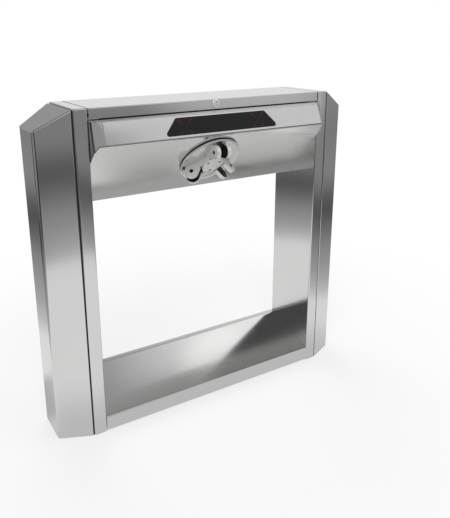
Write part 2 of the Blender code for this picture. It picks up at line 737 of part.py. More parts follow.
def build_lock():
    lid = frames["lid_axis"]
    lock = frames["lock_axis"]
    front = FRONT - LOCK_RIM
    inner = FRONT + SHEET + CLEAR
    end = FRONT + LOCK_LENGTH
    bore = LOCK_CORE + CLEAR
    place = along((0, 0, LOCK_Z), (0, 1, 0))
    bm = bmesh.new()
    turn(bm, [(bore, front), (LOCK_ROSETTE - 0.0015, front), (LOCK_ROSETTE, front + 0.0012),
              (LOCK_ROSETTE, FRONT - CLEAR), (LOCK_BARREL, FRONT - CLEAR), (LOCK_BARREL, end),
              (bore, end)], 24, place)
    smooth(settle("lock_body", bm, "chrome", lid, world=True))
    bm = bmesh.new()
    outer = spread_hexagon(LOCK_NUT, inner)
    bore_ring = [(p[0], p[1], inner) for p in circle(LOCK_BARREL + CLEAR, 24)]
    tube(bm, outer, bore_ring, LOCK_NUT_WIDTH)
    bm.transform(place)
    settle("lock_nut", bm, "steel", lid, world=True)
    bm = bmesh.new()
    turn(bm, [(0, front - 0.0008), (LOCK_CORE - 0.0006, front - 0.0008), (LOCK_CORE, front),
              (LOCK_CORE, end + CLEAR), (0, end + CLEAR)], 20, place)
    core = smooth(settle("lock_core", bm, "chrome", lock, world=True))
    bm = bmesh.new()
    wide, tall = KEY_SLOT
    box(bm, (-wide, front - 0.003, LOCK_Z - tall), (wide, front + 0.004, LOCK_Z + tall))
    carve(core, "key_slot", bm, parent=lock, world=True)
    bm = bmesh.new()
    near = end + 2 * CLEAR
    cam = circle(0.006, 9, (0.0, LOCK_Z), 0.0, 180.0)
    cam += circle(CAM_TIP, 7, (0.0, LOCK_Z + CAM_TIP - CAM_LENGTH), 180.0, 180.0)
    plate(bm, cam, near, near + SHEET, "xzy")
    settle("lock_cam", bm, "steel", lock, world=True)

    # The catch stands behind the fascia's upright flange and reaches back over the turned cam.
    plate_y = FRONT + SIDE_FLANGE + SHEET + CLEAR
    under = LOCK_Z + CAM_TIP + 0.0008
    hook = near + SHEET + 0.002
    foot = LEDGE_REAR_Z - SHEET
    outline = [(plate_y, foot), (plate_y + SHEET, foot), (plate_y + SHEET, under),
               (hook, under), (hook, under + SHEET), (plate_y, under + SHEET)]
    bm = bmesh.new()
    plate(bm, outline, CAM_LENGTH - 0.006, CAM_LENGTH + 0.006, "yzx")
    settle("lock_catch", bm, "steel")


def ear_outline():
    # Side view of a clevis ear as (radius, height), from the boss to the round end.
    lean = math.radians(ARM_ANGLE)
    arm = Vector((math.sin(lean), math.cos(lean)))
    across = Vector((math.cos(lean), -math.sin(lean)))
    pivot = Vector((PIVOT_RADIUS, PIVOT_HEIGHT))
    base = DISC_BACK + DISC_PLATE + CLEAR
    low = pivot + across * EAR_RADIUS
    high = pivot - across * EAR_RADIUS
    foot = low - arm * ((low.y - base) / arm.y)
    root = high - arm * ((high.y - CAP_TOP) / arm.y)
    start = math.degrees(math.atan2(across.y, across.x))
    points = [(0.022, base), (foot.x, base)]
    points += circle(EAR_RADIUS, 13, tuple(pivot), start, 180.0)
    seat = CAP_RADIUS + 0.0012
    points += [(root.x, CAP_TOP), (seat, CAP_TOP), (seat, BOSS_TOP), (0.022, BOSS_TOP)]
    return points


def build_hub():
    hub = frames["hub_axis"]
    base = DISC_BACK + DISC_PLATE
    bore = SHAFT + SHAFT_SEAT
    bm = bmesh.new()
    turn(bm, [(bore, DISC_BACK), (DISC_RADIUS - 0.001, DISC_BACK), (DISC_RADIUS, DISC_BACK + 0.001),
              (DISC_RADIUS, DISC_RIM - 0.0008), (DISC_RADIUS - 0.0008, DISC_RIM),
              (DISC_RADIUS - 0.002, DISC_RIM), (DISC_FLAT, base), (bore, base)], 56)
    smooth(settle("hub_disc", bm, "polished", hub))

    fillet = 0.004
    bm = bmesh.new()
    profile = [(0.0, base + CLEAR), (BOSS_RADIUS, base + CLEAR), (BOSS_RADIUS, BOSS_TOP - fillet)]
    profile += circle(fillet, 5, (BOSS_RADIUS - fillet, BOSS_TOP - fillet), 0.0, 90.0)[1:] + [(0.0, BOSS_TOP)]
    turn(bm, profile, 48)
    body = smooth(settle("hub_body", bm, "polished", hub))
    slots = bmesh.new()
    holes = bmesh.new()
    for k in range(3):
        lead = 90.0 + 120.0 * k
        turned = Matrix.Rotation(math.radians(lead), 4, "Z")
        bm = bmesh.new()
        part = bmesh.new()
        plate(part, ear_outline(), -SLOT / 2 - EAR, SLOT / 2 + EAR, "xzy")
        add(bm, part, turned)
        carve(body, "fork_%d" % k, bm, "UNION", hub)
        part = bmesh.new()
        box(part, (SLOT_FLOOR, -SLOT / 2, 0.0), (0.2, SLOT / 2, 0.2))
        add(slots, part, turned)
        part = bmesh.new()
        plate(part, circle(PIVOT_HOLE, 16, (PIVOT_RADIUS, PIVOT_HEIGHT)), -0.1, 0.1, "xzy")
        add(holes, part, turned)
    carve(body, "fork_slots", slots, "DIFFERENCE", hub)
    carve(body, "pivot_holes", holes, "DIFFERENCE", hub)
    bm = bmesh.new()
    plate(bm, circle(bore, 24), -0.1, CAP_TOP - 0.009)
    for x, y in circle(HUB_SCREW_CIRCLE, 3, start=30.0):
        plate(bm, circle(0.0030, 10, (x, y)), -0.1, 0.1)
    carve(body, "hub_bores", bm, "DIFFERENCE", hub)

    bm = bmesh.new()
    low = BOSS_TOP + CLEAR
    turn(bm, [(0, low), (CAP_RADIUS, low), (CAP_RADIUS, CAP_TOP - 0.0012), (CAP_RADIUS - 0.0012, CAP_TOP),
              (0, CAP_TOP)], 48)
    cap = smooth(settle("hub_cap", bm, "polished", hub))
    bm = bmesh.new()
    for x, y in circle(HUB_SCREW_CIRCLE, 3, start=30.0):
        plate(bm, circle(SCREW_HEAD + CLEAR, 16, (x, y)), 0.0, 0.1)
    carve(cap, "cap_bores", bm, "DIFFERENCE", hub)

    foot = base + 2 * CLEAR
    for k, (x, y) in enumerate(circle(HUB_SCREW_CIRCLE, 3, start=30.0)):
        bm = bmesh.new()
        head = CAP_TOP + 0.0004
        turn(bm, [(0, foot), (0.0026, foot), (0.0026, low + CLEAR), (SCREW_HEAD, low + CLEAR),
                  (SCREW_HEAD, head - 0.0008), (SCREW_HEAD - 0.0008, head), (0.0025, head),
                  (0.0025, CAP_TOP - 0.0025), (0, CAP_TOP - 0.0025)], 12)
        screw = smooth(settle("hub_screw_%d" % (k + 1), bm, "steel", hub))
        screw.location = (x, y, 0.0)


def bearing_profile(low):
    # Two rings with a shallow shield between them on each face.
    high = low + BEARING_WIDTH
    bore = SHAFT + SHAFT_SEAT
    inner, outer, dip = bore + 0.003, BEARING_RADIUS - 0.003, 0.001
    return [(bore, low), (inner, low), (inner, low + dip), (outer, low + dip), (outer, low),
            (BEARING_RADIUS, low), (BEARING_RADIUS, high), (outer, high), (outer, high - dip),
            (inner, high - dip), (inner, high), (bore, high)]


def build_shaft():
    hub = frames["hub_axis"]
    near = CHASSIS_FRONT - CHASSIS_PLATE
    far = CHASSIS_REAR - CHASSIS_PLATE
    bm = bmesh.new()
    collar_low = far - SHEET + CLEAR
    collar_high = LOCK_HUB_END - CLEAR
    top = BOSS_TOP - SHAFT_SINK
    turn(bm, [(0, SHAFT_END), (SHAFT - 0.001, SHAFT_END), (SHAFT, SHAFT_END + 0.001), (SHAFT, collar_low),
              (SHAFT_COLLAR, collar_low), (SHAFT_COLLAR, collar_high), (SHAFT, collar_high),
              (SHAFT, SHAFT_FLANGE_BACK), (SHAFT_FLANGE, SHAFT_FLANGE_BACK), (SHAFT_FLANGE, DISC_BACK - CLEAR),
              (SHAFT, DISC_BACK - CLEAR), (SHAFT, top - 0.001), (SHAFT - 0.001, top), (0, top)], 24)
    smooth(settle("main_shaft", bm, "steel", hub))

    for word, face in (("front", near), ("rear", far)):
        start = face - CLEAR
        step = start - HOUSING_PLATE
        stop = start - HOUSING_LENGTH
        lip = stop + HOUSING_LIP
        inner = BEARING_RADIUS + CLEAR
        bm = bmesh.new()
        turn(bm, [(inner, start), (HOUSING_FLANGE, start), (HOUSING_FLANGE, step), (HOUSING_BARREL, step),
                  (HOUSING_BARREL, stop), (HOUSING_MOUTH, stop), (HOUSING_MOUTH, lip), (inner, lip)], 24)
        smooth(settle(word + "_bearing_housing", bm, "cast", hub))
        bm = bmesh.new()
        turn(bm, bearing_profile(lip + CLEAR), 24)
        smooth(settle(word + "_bearing", bm, "steel", hub))


def gear_outline(teeth, lead):
    # Involute teeth: radius and half angle of one flank, mirrored for the other.
    pitch = MODULE * teeth / 2
    pressure = math.radians(PRESSURE_ANGLE)
    base = pitch * math.cos(pressure)
    tip = pitch + ADDENDUM * MODULE
    root = pitch - DEDENDUM * MODULE
    roll = math.tan(pressure) - pressure
    half = math.pi / (2 * teeth) - BACKLASH / (2 * pitch)
    flank = []
    for k in range(3):
        radius = max(base, root) + (tip - max(base, root)) * k / 2
        open_angle = math.acos(min(1.0, base / radius))
        flank.append((radius, half + roll - (math.tan(open_angle) - open_angle)))
    if root < base:
        flank.insert(0, (root, flank[0][1]))
    points = []
    for i in range(teeth):
        centre = math.radians(lead) + 2 * math.pi * i / teeth
        for radius, angle in flank:
            points.append((radius * math.cos(centre - angle), radius * math.sin(centre - angle)))
        for radius, angle in reversed(flank):
            points.append((radius * math.cos(centre + angle), radius * math.sin(centre + angle)))
    return points


def wheel(bm, outline, low, high, hub_radius, hub_low, hub_high, bore):
    # Toothed rim with a round hub on both faces and a bore through it.
    count = len(outline)
    rings = []
    for level in (low, high):
        rings.append([bm.verts.new((x, y, level)) for x, y in outline])
    segments = 24
    levels = ((hub_radius, low), (hub_radius, hub_low), (bore, hub_low), (bore, hub_high),
              (hub_radius, hub_high), (hub_radius, high))
    turned = [[bm.verts.new((x, y, z)) for x, y in circle(r, segments)] for r, z in levels]
    pairs = [(rings[0], rings[1], count)] + [(a, b, segments) for a, b in zip(turned, turned[1:])]
    for one, two, n in pairs:
        for i in range(n):
            j = (i + 1) % n
            bm.faces.new((one[i], one[j], two[j], two[i]))
    for rim, ring in ((rings[0], turned[0]), (rings[1], turned[-1])):
        edges = []
        for loop in (rim, ring):
            edges += [bm.edges.get((a, b)) for a, b in zip(loop, loop[1:] + loop[:1])]
        bmesh.ops.triangle_fill(bm, edges=edges, use_beauty=True)
    bmesh.ops.recalc_face_normals(bm, faces=bm.faces[:])


def notch_outline():
    points = []
    step = 360.0 / LOCK_NOTCHES
    for i in range(LOCK_NOTCHES):
        mid = math.radians(step * i)
        out = Vector((math.cos(mid), math.sin(mid)))
        side = Vector((-out.y, out.x))
        floor = LOCK_RADIUS - NOTCH_DEPTH
        rim = math.sqrt(LOCK_RADIUS ** 2 - (NOTCH_WIDTH / 2) ** 2)
        points += [tuple(out * rim - side * NOTCH_WIDTH / 2), tuple(out * floor - side * NOTCH_FLOOR / 2),
                   tuple(out * floor + side * NOTCH_FLOOR / 2), tuple(out * rim + side * NOTCH_WIDTH / 2)]
        points += circle(LOCK_RADIUS, 3, start=step * i + 10.5, sweep=9.0)
    return points


def build_wheels():
    hub = frames["hub_axis"]
    bore = SHAFT + SHAFT_SEAT
    housing_end = CHASSIS_FRONT - CHASSIS_PLATE - CLEAR - HOUSING_LENGTH
    gear_hub_top = housing_end - 0.0007
    outline = gear_outline(WHEEL_TEETH, -90.0)
    bm = bmesh.new()
    wheel(bm, outline, GEAR_TOP - GEAR_WIDTH, GEAR_TOP, GEAR_HUB, GEAR_HUB_END, gear_hub_top, bore)
    settle("damper_gear", bm, "steel", hub)
    lock_hub_top = GEAR_HUB_END - CLEAR
    bm = bmesh.new()
    wheel(bm, notch_outline(), LOCK_TOP - LOCK_WIDTH, LOCK_TOP, GEAR_HUB, LOCK_HUB_END, lock_hub_top, bore)
    settle("lock_wheel", bm, "steel", hub)

    top = CHASSIS_REAR - CHASSIS_PLATE - CLEAR - HOUSING_LENGTH - CLEAR
    bm = bmesh.new()
    points = []
    for i in range(CODE_SLOTS):
        lead = 360.0 * i / CODE_SLOTS
        points += circle(CODE_RADIUS, 4, start=lead, sweep=20.0)
        points += circle(CODE_RADIUS - CODE_TOOTH, 2, start=lead + 20.0, sweep=10.0)
    disc_low = top - CODE_HUB_LENGTH + 0.001
    wheel(bm, points, disc_low, disc_low + CODE_WIDTH, CODE_HUB, top - CODE_HUB_LENGTH, top, bore)
    settle("position_disc", bm, "steel", hub)
    bm = bmesh.new()
    nut_low = top - CODE_HUB_LENGTH - CLEAR - SHAFT_NUT_WIDTH
    inner = [(x, y, nut_low) for x, y in circle(bore, 24)]
    tube(bm, spread_hexagon(SHAFT_NUT, nut_low), inner, SHAFT_NUT_WIDTH)
    settle("shaft_nut", bm, "steel", hub)


def spread_hexagon(radius, level):
    # A hexagon given four points a side, to match a round bore.
    corners = circle(radius, 6)
    points = []
    for i in range(6):
        a, b = Vector(corners[i]), Vector(corners[(i + 1) % 6])
        for k in range(4):
            p = a.lerp(b, k / 4)
            points.append((p.x, p.y, level))
    return points


def build_damper():
    damper = frames["damper_axis"]
    top = CHASSIS_FRONT - CHASSIS_PLATE - CLEAR
    low = top - DAMPER_LENGTH
    bm = bmesh.new()
    turn(bm, [(SPINDLE + CLEAR, top), (DAMPER_RADIUS, top), (DAMPER_RADIUS, low + 0.002),
              (DAMPER_RADIUS - 0.002, low), (SPINDLE + CLEAR, low)], 32)
    smooth(settle("damper_body", bm, "black_steel", damper))
    gear_low = GEAR_TOP - GEAR_WIDTH
    bm = bmesh.new()
    plate(bm, gear_outline(PINION_TEETH, 90.0 + 180.0 / PINION_TEETH), gear_low, GEAR_TOP)
    pinion = settle("damper_pinion", bm, "brass", damper)
    bm = bmesh.new()
    collar = SPINDLE_COLLAR
    turn(bm, [(0, top - 0.001), (SPINDLE, top - 0.001), (SPINDLE, GEAR_TOP + 0.001), (collar, GEAR_TOP + 0.001),
              (collar, gear_low - 0.002), (SPINDLE, gear_low - 0.002), (SPINDLE, gear_low - 0.006),
              (0, gear_low - 0.006)], 24)
    carve(pinion, "pinion_spindle", bm, "UNION", damper)


def build_chassis():
    hub = frames["hub_axis"]
    corners = [(-CHASSIS_HALF, -CHASSIS_DOWN), (CHASSIS_HALF, -CHASSIS_DOWN), (CHASSIS_HALF, CHASSIS_UP),
               (-CHASSIS_HALF, CHASSIS_UP)]
    reach = CHASSIS_HALF - PILLAR_INSET
    places = [(x, y) for x in (-reach, reach) for y in (CHASSIS_UP - PILLAR_INSET, PILLAR_INSET - CHASSIS_DOWN)]
    for word, top in (("front", CHASSIS_FRONT), ("rear", CHASSIS_REAR)):
        bm = bmesh.new()
        plate(bm, rounded(corners, 0.010), top - CHASSIS_PLATE, top)
        wall = settle(word + "_chassis_plate", bm, "zinc", hub)
        bm = bmesh.new()
        plate(bm, circle(0.020, 28), -0.2, 0.1)
        carve(wall, word + "_plate_bore", bm, "DIFFERENCE", hub)
        bm = bmesh.new()
        for x, y in places:
            plate(bm, circle(PILLAR_NECK + CLEAR, 12, (x, y)), -0.2, 0.1)
        carve(wall, word + "_pillar_holes", bm, "DIFFERENCE", hub)
    neck = CHASSIS_FRONT - CHASSIS_PLATE - CLEAR
    head = CHASSIS_REAR - CHASSIS_PLATE - CLEAR
    seat = CHASSIS_REAR + CLEAR
    profile = [(0, head - 0.005), (PILLAR, head - 0.005), (PILLAR, head), (PILLAR_NECK, head),
               (PILLAR_NECK, seat), (PILLAR, seat), (PILLAR, neck), (PILLAR_NECK, neck),
               (PILLAR_NECK, -SHEET - CLEAR), (0, -SHEET - CLEAR)]
    for k, (x, y) in enumerate(places):
        bm = bmesh.new()
        turn(bm, profile, 12)
        pillar = smooth(settle("chassis_pillar_%d" % (k + 1), bm, "steel", hub))
        pillar.location = (x, y, 0.0)


def pawl_outline(side):
    # Drawn locked: the tooth points into the notch at 30 degrees below the X axis.
    lead = math.radians(-30.0 if side > 0 else -150.0)
    out = Vector((math.cos(lead), math.sin(lead)))
    across = Vector((-out.y, out.x)) * side
    pivot = Vector((side * PAWL_PIVOT, 0.0))
    base = out * (PAWL_TIP_RADIUS + 0.0085) - pivot
    tip = out * PAWL_TIP_RADIUS - pivot
    half = PAWL_TOOTH / 2
    tail = PAWL_TAIL + 0.006
    points = [Vector((side * tail, 0.005)), Vector((side * 0.004, PAWL_BOSS))]
    points += [Vector((-side * 0.005, PAWL_BOSS - 0.001))]
    points += [base + across * (half + 0.003), base + across * half, tip + across * half]
    points += [tip - across * half, base - across * half, base - across * (half + 0.002) + out * 0.004]
    points += [Vector((side * 0.004, -PAWL_BOSS)), Vector((side * tail, -0.005))]
    return [tuple(p) for p in points]


def build_locking():
    hub = frames["hub_axis"]
    near = CHASSIS_FRONT - CHASSIS_PLATE - CLEAR
    middle = LOCK_TOP - LOCK_WIDTH / 2
    for side, word in ((-1, "exit"), (1, "entry")):
        pivot = frames[word + "_pawl_axis"]
        bm = bmesh.new()
        plate(bm, circle(PAWL_PIN, 16, (side * PAWL_PIVOT, 0.0)), CHASSIS_REAR + CLEAR, near)
        settle(word + "_pawl_pin", bm, "steel", hub)
        bm = bmesh.new()
        plate(bm, pawl_outline(side), LOCK_TOP - LOCK_WIDTH, LOCK_TOP)
        pawl = settle(word + "_pawl", bm, "steel", pivot)
        pawl.rotation_euler.z = side * math.radians(PAWL_SWING)
        bm = bmesh.new()
        plate(bm, circle(PAWL_PIN + CLEAR + 0.0001, 16), -0.2, 0.1)
        plate(bm, circle(LINK_PIN + 0.0008, 12, (side * PAWL_TAIL, 0.0)), -0.2, 0.1)
        carve(pawl, word + "_pawl_bores", bm, "DIFFERENCE", pawl)

        link_x = side * (PAWL_PIVOT + PAWL_TAIL)
        link_y = PAWL_TAIL * math.sin(math.radians(PAWL_SWING))
        slide = frames[word + "_plunger_axis"]
        bm = bmesh.new()
        half = LOCK_WIDTH / 2 + 0.0006
        wall = half + CLEVIS_WALL
        clevis = [(-wall, -0.014), (wall, -0.014), (wall, 0.006), (half, 0.006), (half, -0.0105),
                  (-half, -0.0105), (-half, 0.006), (-wall, 0.006)]
        plate(bm, [(v, u) for u, v in clevis], -0.006, 0.006, "yzx")
        fork = settle(word + "_plunger", bm, "steel", slide)
        bm = bmesh.new()
        place = along((0, -0.0135, 0), (0, -1, 0))
        turn(bm, [(0, 0.0), (PLUNGER, 0.0), (PLUNGER, PLUNGER_ROD), (0, PLUNGER_ROD)], 20, place)
        carve(fork, word + "_plunger_rod", bm, "UNION", slide)
        bm = bmesh.new()
        plate(bm, circle(LINK_PIN, 12), -wall - 0.0005, wall + 0.0005)
        carve(fork, word + "_link_pin", bm, "UNION", slide)

        bm = bmesh.new()
        reach = SOLENOID_WIDTH / 2
        box(bm, (link_x - reach, SOLENOID_TOP - SOLENOID_LENGTH, CHASSIS_REAR + CLEAR),
            (link_x + reach, SOLENOID_TOP, CHASSIS_REAR + CLEAR + SOLENOID_DEPTH))
        coil = settle(word + "_solenoid", bm, "black_steel", hub)
        bm = bmesh.new()
        turn(bm, [(0, -0.1), (PLUNGER + 0.0004, -0.1), (PLUNGER + 0.0004, 0.1), (0, 0.1)], 20,
             along((link_x, SOLENOID_TOP, middle), (0, 1, 0)))
        carve(coil, word + "_coil_bore", bm, "DIFFERENCE", hub)


def build_sensor():
    hub = frames["hub_axis"]
    face = CHASSIS_REAR - CHASSIS_PLATE - CLEAR
    disc_low = face - HOUSING_LENGTH - CLEAR - CODE_HUB_LENGTH + 0.001
    inner = SENSOR_REACH
    above = disc_low + CODE_WIDTH + SENSOR_GAP
    below = disc_low - SENSOR_GAP
    outline = [(inner + 0.016, face), (inner + 0.016, below - SENSOR_ARM), (inner, below - SENSOR_ARM),
               (inner, below), (inner + 0.008, below), (inner + 0.008, above), (inner, above),
               (inner, above + SENSOR_ARM), (inner + 0.010, above + SENSOR_ARM), (inner + 0.010, face)]
    bm = bmesh.new()
    plate(bm, outline, -0.008, 0.008, "xzy")
    sensor = settle("position_sensor", bm, "black_plastic", hub)
    sensor.rotation_euler.z = math.radians(90.0)


def build_electronics():
    wall = REAR - SHEET - CLEAR
    base = CABINET_FLOOR + ELECTRONICS_RISE
    outer = PANEL_X - ELECTRONICS_SIDE
    wide, tall = BOARD_SIZE
    left = outer - wide
    back = wall - BOARD_STANDOFF - CLEAR
    face = back - BOARD
    bm = bmesh.new()
    box(bm, (left, face, base), (outer, back, base + tall))
    board = settle("controller_board", bm, "circuit")
    sunk = face + BOARD / 2
    bm = bmesh.new()
    for x, z, w, h, d in BOARD_PARTS:
        box(bm, (left + x, face - d, base + z), (left + x + w, sunk, base + z + h))
    for x, z, radius, d in BOARD_CANS:
        plate(bm, circle(radius, 12, (left + x, base + z)), face - d, sunk, "xzy")
    inset, rise = STANDOFF_INSET
    for x in (left + inset, outer - inset):
        for z in (base + rise, base + tall - rise):
            plate(bm, circle(STANDOFF, 6, (x, z)), sunk, wall, "xzy")
    carve(board, "board_parts", bm, "UNION")
    wide, tall = SUPPLY_SIZE
    bm = bmesh.new()
    box(bm, (-outer, wall - SUPPLY_DEPTH, base), (wide - outer, wall, base + tall))
    settle("power_supply", bm, "zinc")


def clear_scene():
    for obj in list(bpy.data.objects):
        bpy.data.objects.remove(obj)


def build():
    clear_scene()
    finish("brushed", (0.62, 0.62, 0.61), 0.30, 1.0)
    finish("polished", (0.74, 0.74, 0.73), 0.22, 1.0)
    finish("chrome", (0.80, 0.80, 0.80), 0.10, 1.0)
    finish("steel", (0.45, 0.46, 0.47), 0.40, 1.0)
    finish("zinc", (0.55, 0.56, 0.58), 0.45, 1.0)
    finish("cast", (0.50, 0.50, 0.50), 0.55, 1.0)
    finish("black_steel", (0.05, 0.05, 0.05), 0.50, 0.0)
    finish("black_plastic", (0.03, 0.03, 0.03), 0.45, 0.0)
    finish("black_gloss", (0.01, 0.01, 0.01), 0.05, 0.0)
    finish("circuit", (0.02, 0.20, 0.08), 0.40, 0.0)
    finish("brass", (0.70, 0.52, 0.22), 0.35, 1.0)
    finish("rubber", (0.02, 0.02, 0.02), 0.85, 0.0)

    tilt = math.radians(180.0 - SLOPE_ANGLE)
    hub = frame("hub_axis", HUB_CENTRE, (tilt, 0.0, 0.0))
    frame("damper_axis", (0.0, -GEAR_DISTANCE, 0.0), parent=hub)
    level = LOCK_TOP - LOCK_WIDTH / 2
    for side, word in ((-1, "exit"), (1, "entry")):
        frame(word + "_pawl_axis", (side * PAWL_PIVOT, 0.0, 0.0), parent=hub)
        rise = PAWL_TAIL * math.sin(math.radians(PAWL_SWING))
        frame(word + "_plunger_axis", (side * (PAWL_PIVOT + PAWL_TAIL), rise, level), parent=hub)
    face_up = FACE_TOP - FACE_BOTTOM
    frame("face_frame", (0.0, FACE_TOP.y, FACE_TOP.z), (math.atan2(face_up.z, face_up.y), 0.0, 0.0))
    frame("lid_axis", (0.0, HINGE_Y, HINGE_Z))
    frame("lock_axis", (0.0, FRONT - HINGE_Y, LOCK_Z - HINGE_Z), parent=frames["lid_axis"])

    build_posts()
    build_end_covers()
    build_gaskets()
    build_floor_plates()
    build_lower_beam()
    build_fascia()
    build_display()
    build_sloped_panel()
    build_rear_panel()
    build_lid()
    build_hinge()
    build_lock()
    build_hub()
    build_shaft()
    build_wheels()
    build_damper()
    build_chassis()
    build_locking()
    build_sensor()
    build_electronics()


build()
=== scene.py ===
import json
import math

import bmesh
import bpy
from mathutils import Matrix, Vector


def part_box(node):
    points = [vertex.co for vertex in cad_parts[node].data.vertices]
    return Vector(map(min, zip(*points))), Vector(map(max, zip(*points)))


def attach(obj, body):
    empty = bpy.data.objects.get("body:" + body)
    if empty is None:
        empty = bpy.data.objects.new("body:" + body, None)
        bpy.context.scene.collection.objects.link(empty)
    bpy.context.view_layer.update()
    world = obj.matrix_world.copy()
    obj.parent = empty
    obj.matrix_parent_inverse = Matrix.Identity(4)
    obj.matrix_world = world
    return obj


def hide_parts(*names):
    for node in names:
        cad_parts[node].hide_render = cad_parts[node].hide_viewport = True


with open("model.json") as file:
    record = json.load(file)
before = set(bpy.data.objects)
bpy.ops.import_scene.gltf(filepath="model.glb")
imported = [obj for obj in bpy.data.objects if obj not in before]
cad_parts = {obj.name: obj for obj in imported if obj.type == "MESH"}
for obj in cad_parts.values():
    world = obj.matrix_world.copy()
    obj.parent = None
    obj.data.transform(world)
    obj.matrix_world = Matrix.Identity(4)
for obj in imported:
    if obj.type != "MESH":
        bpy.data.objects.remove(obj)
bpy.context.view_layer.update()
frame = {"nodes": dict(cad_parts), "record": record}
nodes = frame["nodes"]
record = frame["record"]
slotOf = {part["node"]: part["material_slot"] for part in record["subparts"]}
bodyOf = {node: body for body, members in record["behaviour"]["bodies"].items() for node in members}

# The hub's own frame: the panel's outer plane, with local Z out along the shaft. The reaches
# tell a pivot bore's faces and the disc's outer wall from the rest.
hub = {
    "centre": (0.0, -0.071492, 0.813466), "tilt": 132.4, "forkAngles": (90, 210, 330),
    "screwAngles": (30, 150, 270), "pivotRadius": 0.0691, "pivotHeight": 0.0276, "slotHalf": 0.012,
    "slotFloor": 0.037, "earSide": 0.024, "boreReach": 0.0072, "boreFacing": 0.3, "rimReach": 0.0985,
}
hubFrame = Matrix.Translation(hub["centre"]) @ Matrix.Rotation(math.radians(hub["tilt"]), 4, "X")

# For faces picked by place: how far past its limits a face's middle may lie, how far under a
# surface a recess's faces begin, and how far a wall's face may look up or down.
picking = {"margin": 0.0002, "skin": 0.0001, "wall": 0.5}


def deselectAll():
    if bpy.context.mode != "OBJECT":
        bpy.ops.object.mode_set(mode="OBJECT")
    bpy.ops.object.select_all(action="DESELECT")


def pick(piece):
    deselectAll()
    piece.select_set(True)
    bpy.context.view_layer.objects.active = piece


class Wire:
    # A node's output that takes part in sums.
    def __init__(self, owner, socket):
        self.owner = owner
        self.socket = socket

    def math(self, operation, *others):
        return self.owner.node("ShaderNodeMath", {"operation": operation}, dict(enumerate((self, *others))))

    def flipped(self, operation, other):
        return self.owner.node("ShaderNodeMath", {"operation": operation}, {0: other, 1: self})

    def __add__(self, other):
        return self.math("ADD", other)

    def __sub__(self, other):
        return self.math("SUBTRACT", other)

    def __mul__(self, other):
        return self.math("MULTIPLY", other)

    def __truediv__(self, other):
        return self.math("DIVIDE", other)

    def __pow__(self, other):
        return self.math("POWER", other)

    def __radd__(self, other):
        return self.flipped("ADD", other)

    def __rsub__(self, other):
        return self.flipped("SUBTRACT", other)

    def __rmul__(self, other):
        return self.flipped("MULTIPLY", other)

    def __rtruediv__(self, other):
        return self.flipped("DIVIDE", other)

    def __rpow__(self, other):
        return self.flipped("POWER", other)

    def size(self):
        return self.math("ABSOLUTE")

    def top(self, other):
        return self.math("MAXIMUM", other)

    def smooth(self, low, high):
        # Rises softly from 0 at low to 1 at high, or falls where low is the larger.
        settings = {"interpolation_type": "SMOOTHSTEP", "clamp": True}
        ends = {"Value": self, "From Min": min(low, high), "From Max": max(low, high)}
        if low > high:
            ends.update({"To Min": 1.0, "To Max": 0.0})
        return self.owner.node("ShaderNodeMapRange", settings, ends)


class Nodes:
    # A node tree whose nodes are made by the same few calls.
    def __init__(self, tree):
        self.tree = tree

    def node(self, kind, settings=None, values=None, out=0):
        made = self.tree.nodes.new(kind)
        for key, value in (settings or {}).items():
            if key == "stops":
                self.fillRamp(made.color_ramp, value)
            else:
                setattr(made, key, value)
        for key, value in (values or {}).items():
            self.feed(made.inputs[key], value)
        return Wire(self, made.outputs[out])

    def fillRamp(self, ramp, stops):
        while len(ramp.elements) < len(stops):
            ramp.elements.new(1.0)
        for element, (place, tone) in zip(ramp.elements, stops):
            element.position = place
            element.color = (tone, tone, tone, 1.0)

    def feed(self, socket, value):
        if isinstance(value, Wire):
            self.tree.links.new(value.socket, socket)
        elif hasattr(socket.default_value, "__len__") and not hasattr(value, "__len__"):
            socket.default_value = [value] * len(socket.default_value)
        elif hasattr(socket.default_value, "__len__") and len(socket.default_value) > len(value):
            socket.default_value = (*value, 1.0)
        else:
            socket.default_value = value

    def axis(self, vector, index):
        return self.node("ShaderNodeSeparateXYZ", None, {0: vector}, out=index)

    def vectors(self, operation, first, second):
        # What two vectors give as one number, such as their distance.
        return self.node("ShaderNodeVectorMath", {"operation": operation}, {0: first, 1: second}, out="Value")

    def mix(self, first, second, factor):
        return self.node("ShaderNodeMix", {"data_type": "RGBA"}, {0: factor, 6: first, 7: second}, out=2)

    def glow(self, strength):
        return self.node("ShaderNodeEmission", None, {"Color": (1, 1, 1, 1), "Strength": strength})

    def blend(self, factor, first, second):
        return self.node("ShaderNodeMixShader", None, {0: factor, 1: first, 2: second})

    def ray(self, kind):
        return self.node("ShaderNodeLightPath", out=kind)


class Finish(Nodes):
    # One material on a Principled shader, with its pattern read from Object coordinates.
    sockets = {
        "color": "Base Color", "roughness": "Roughness", "metallic": "Metallic", "coat": "Coat Weight",
        "glow": "Emission Color", "glowStrength": "Emission Strength", "normal": "Normal",
        "specular": "Specular IOR Level",
    }

    def __init__(self, name):
        self.material = bpy.data.materials.new(name)
        self.material.use_nodes = True
        super().__init__(self.material.node_tree)
        self.shader = self.tree.nodes["Principled BSDF"]
        self.output = self.tree.nodes["Material Output"]

    def set(self, **values):
        for key, value in values.items():
            self.feed(self.shader.inputs[self.sockets[key]], value)

    def place(self, scale=None):
        spot = self.node("ShaderNodeTexCoord", out="Object")
        return self.node("ShaderNodeMapping", None, {"Vector": spot, "Scale": scale}) if scale else spot

    def noise(self, vector, scale, detail=2.0, rough=0.5):
        values = {"Vector": vector, "Scale": scale, "Detail": detail, "Roughness": rough}
        return self.node("ShaderNodeTexNoise", None, values)

    def bump(self, height, strength, distance):
        values = {"Height": height, "Strength": strength, "Distance": distance}
        return self.node("ShaderNodeBump", None, values)


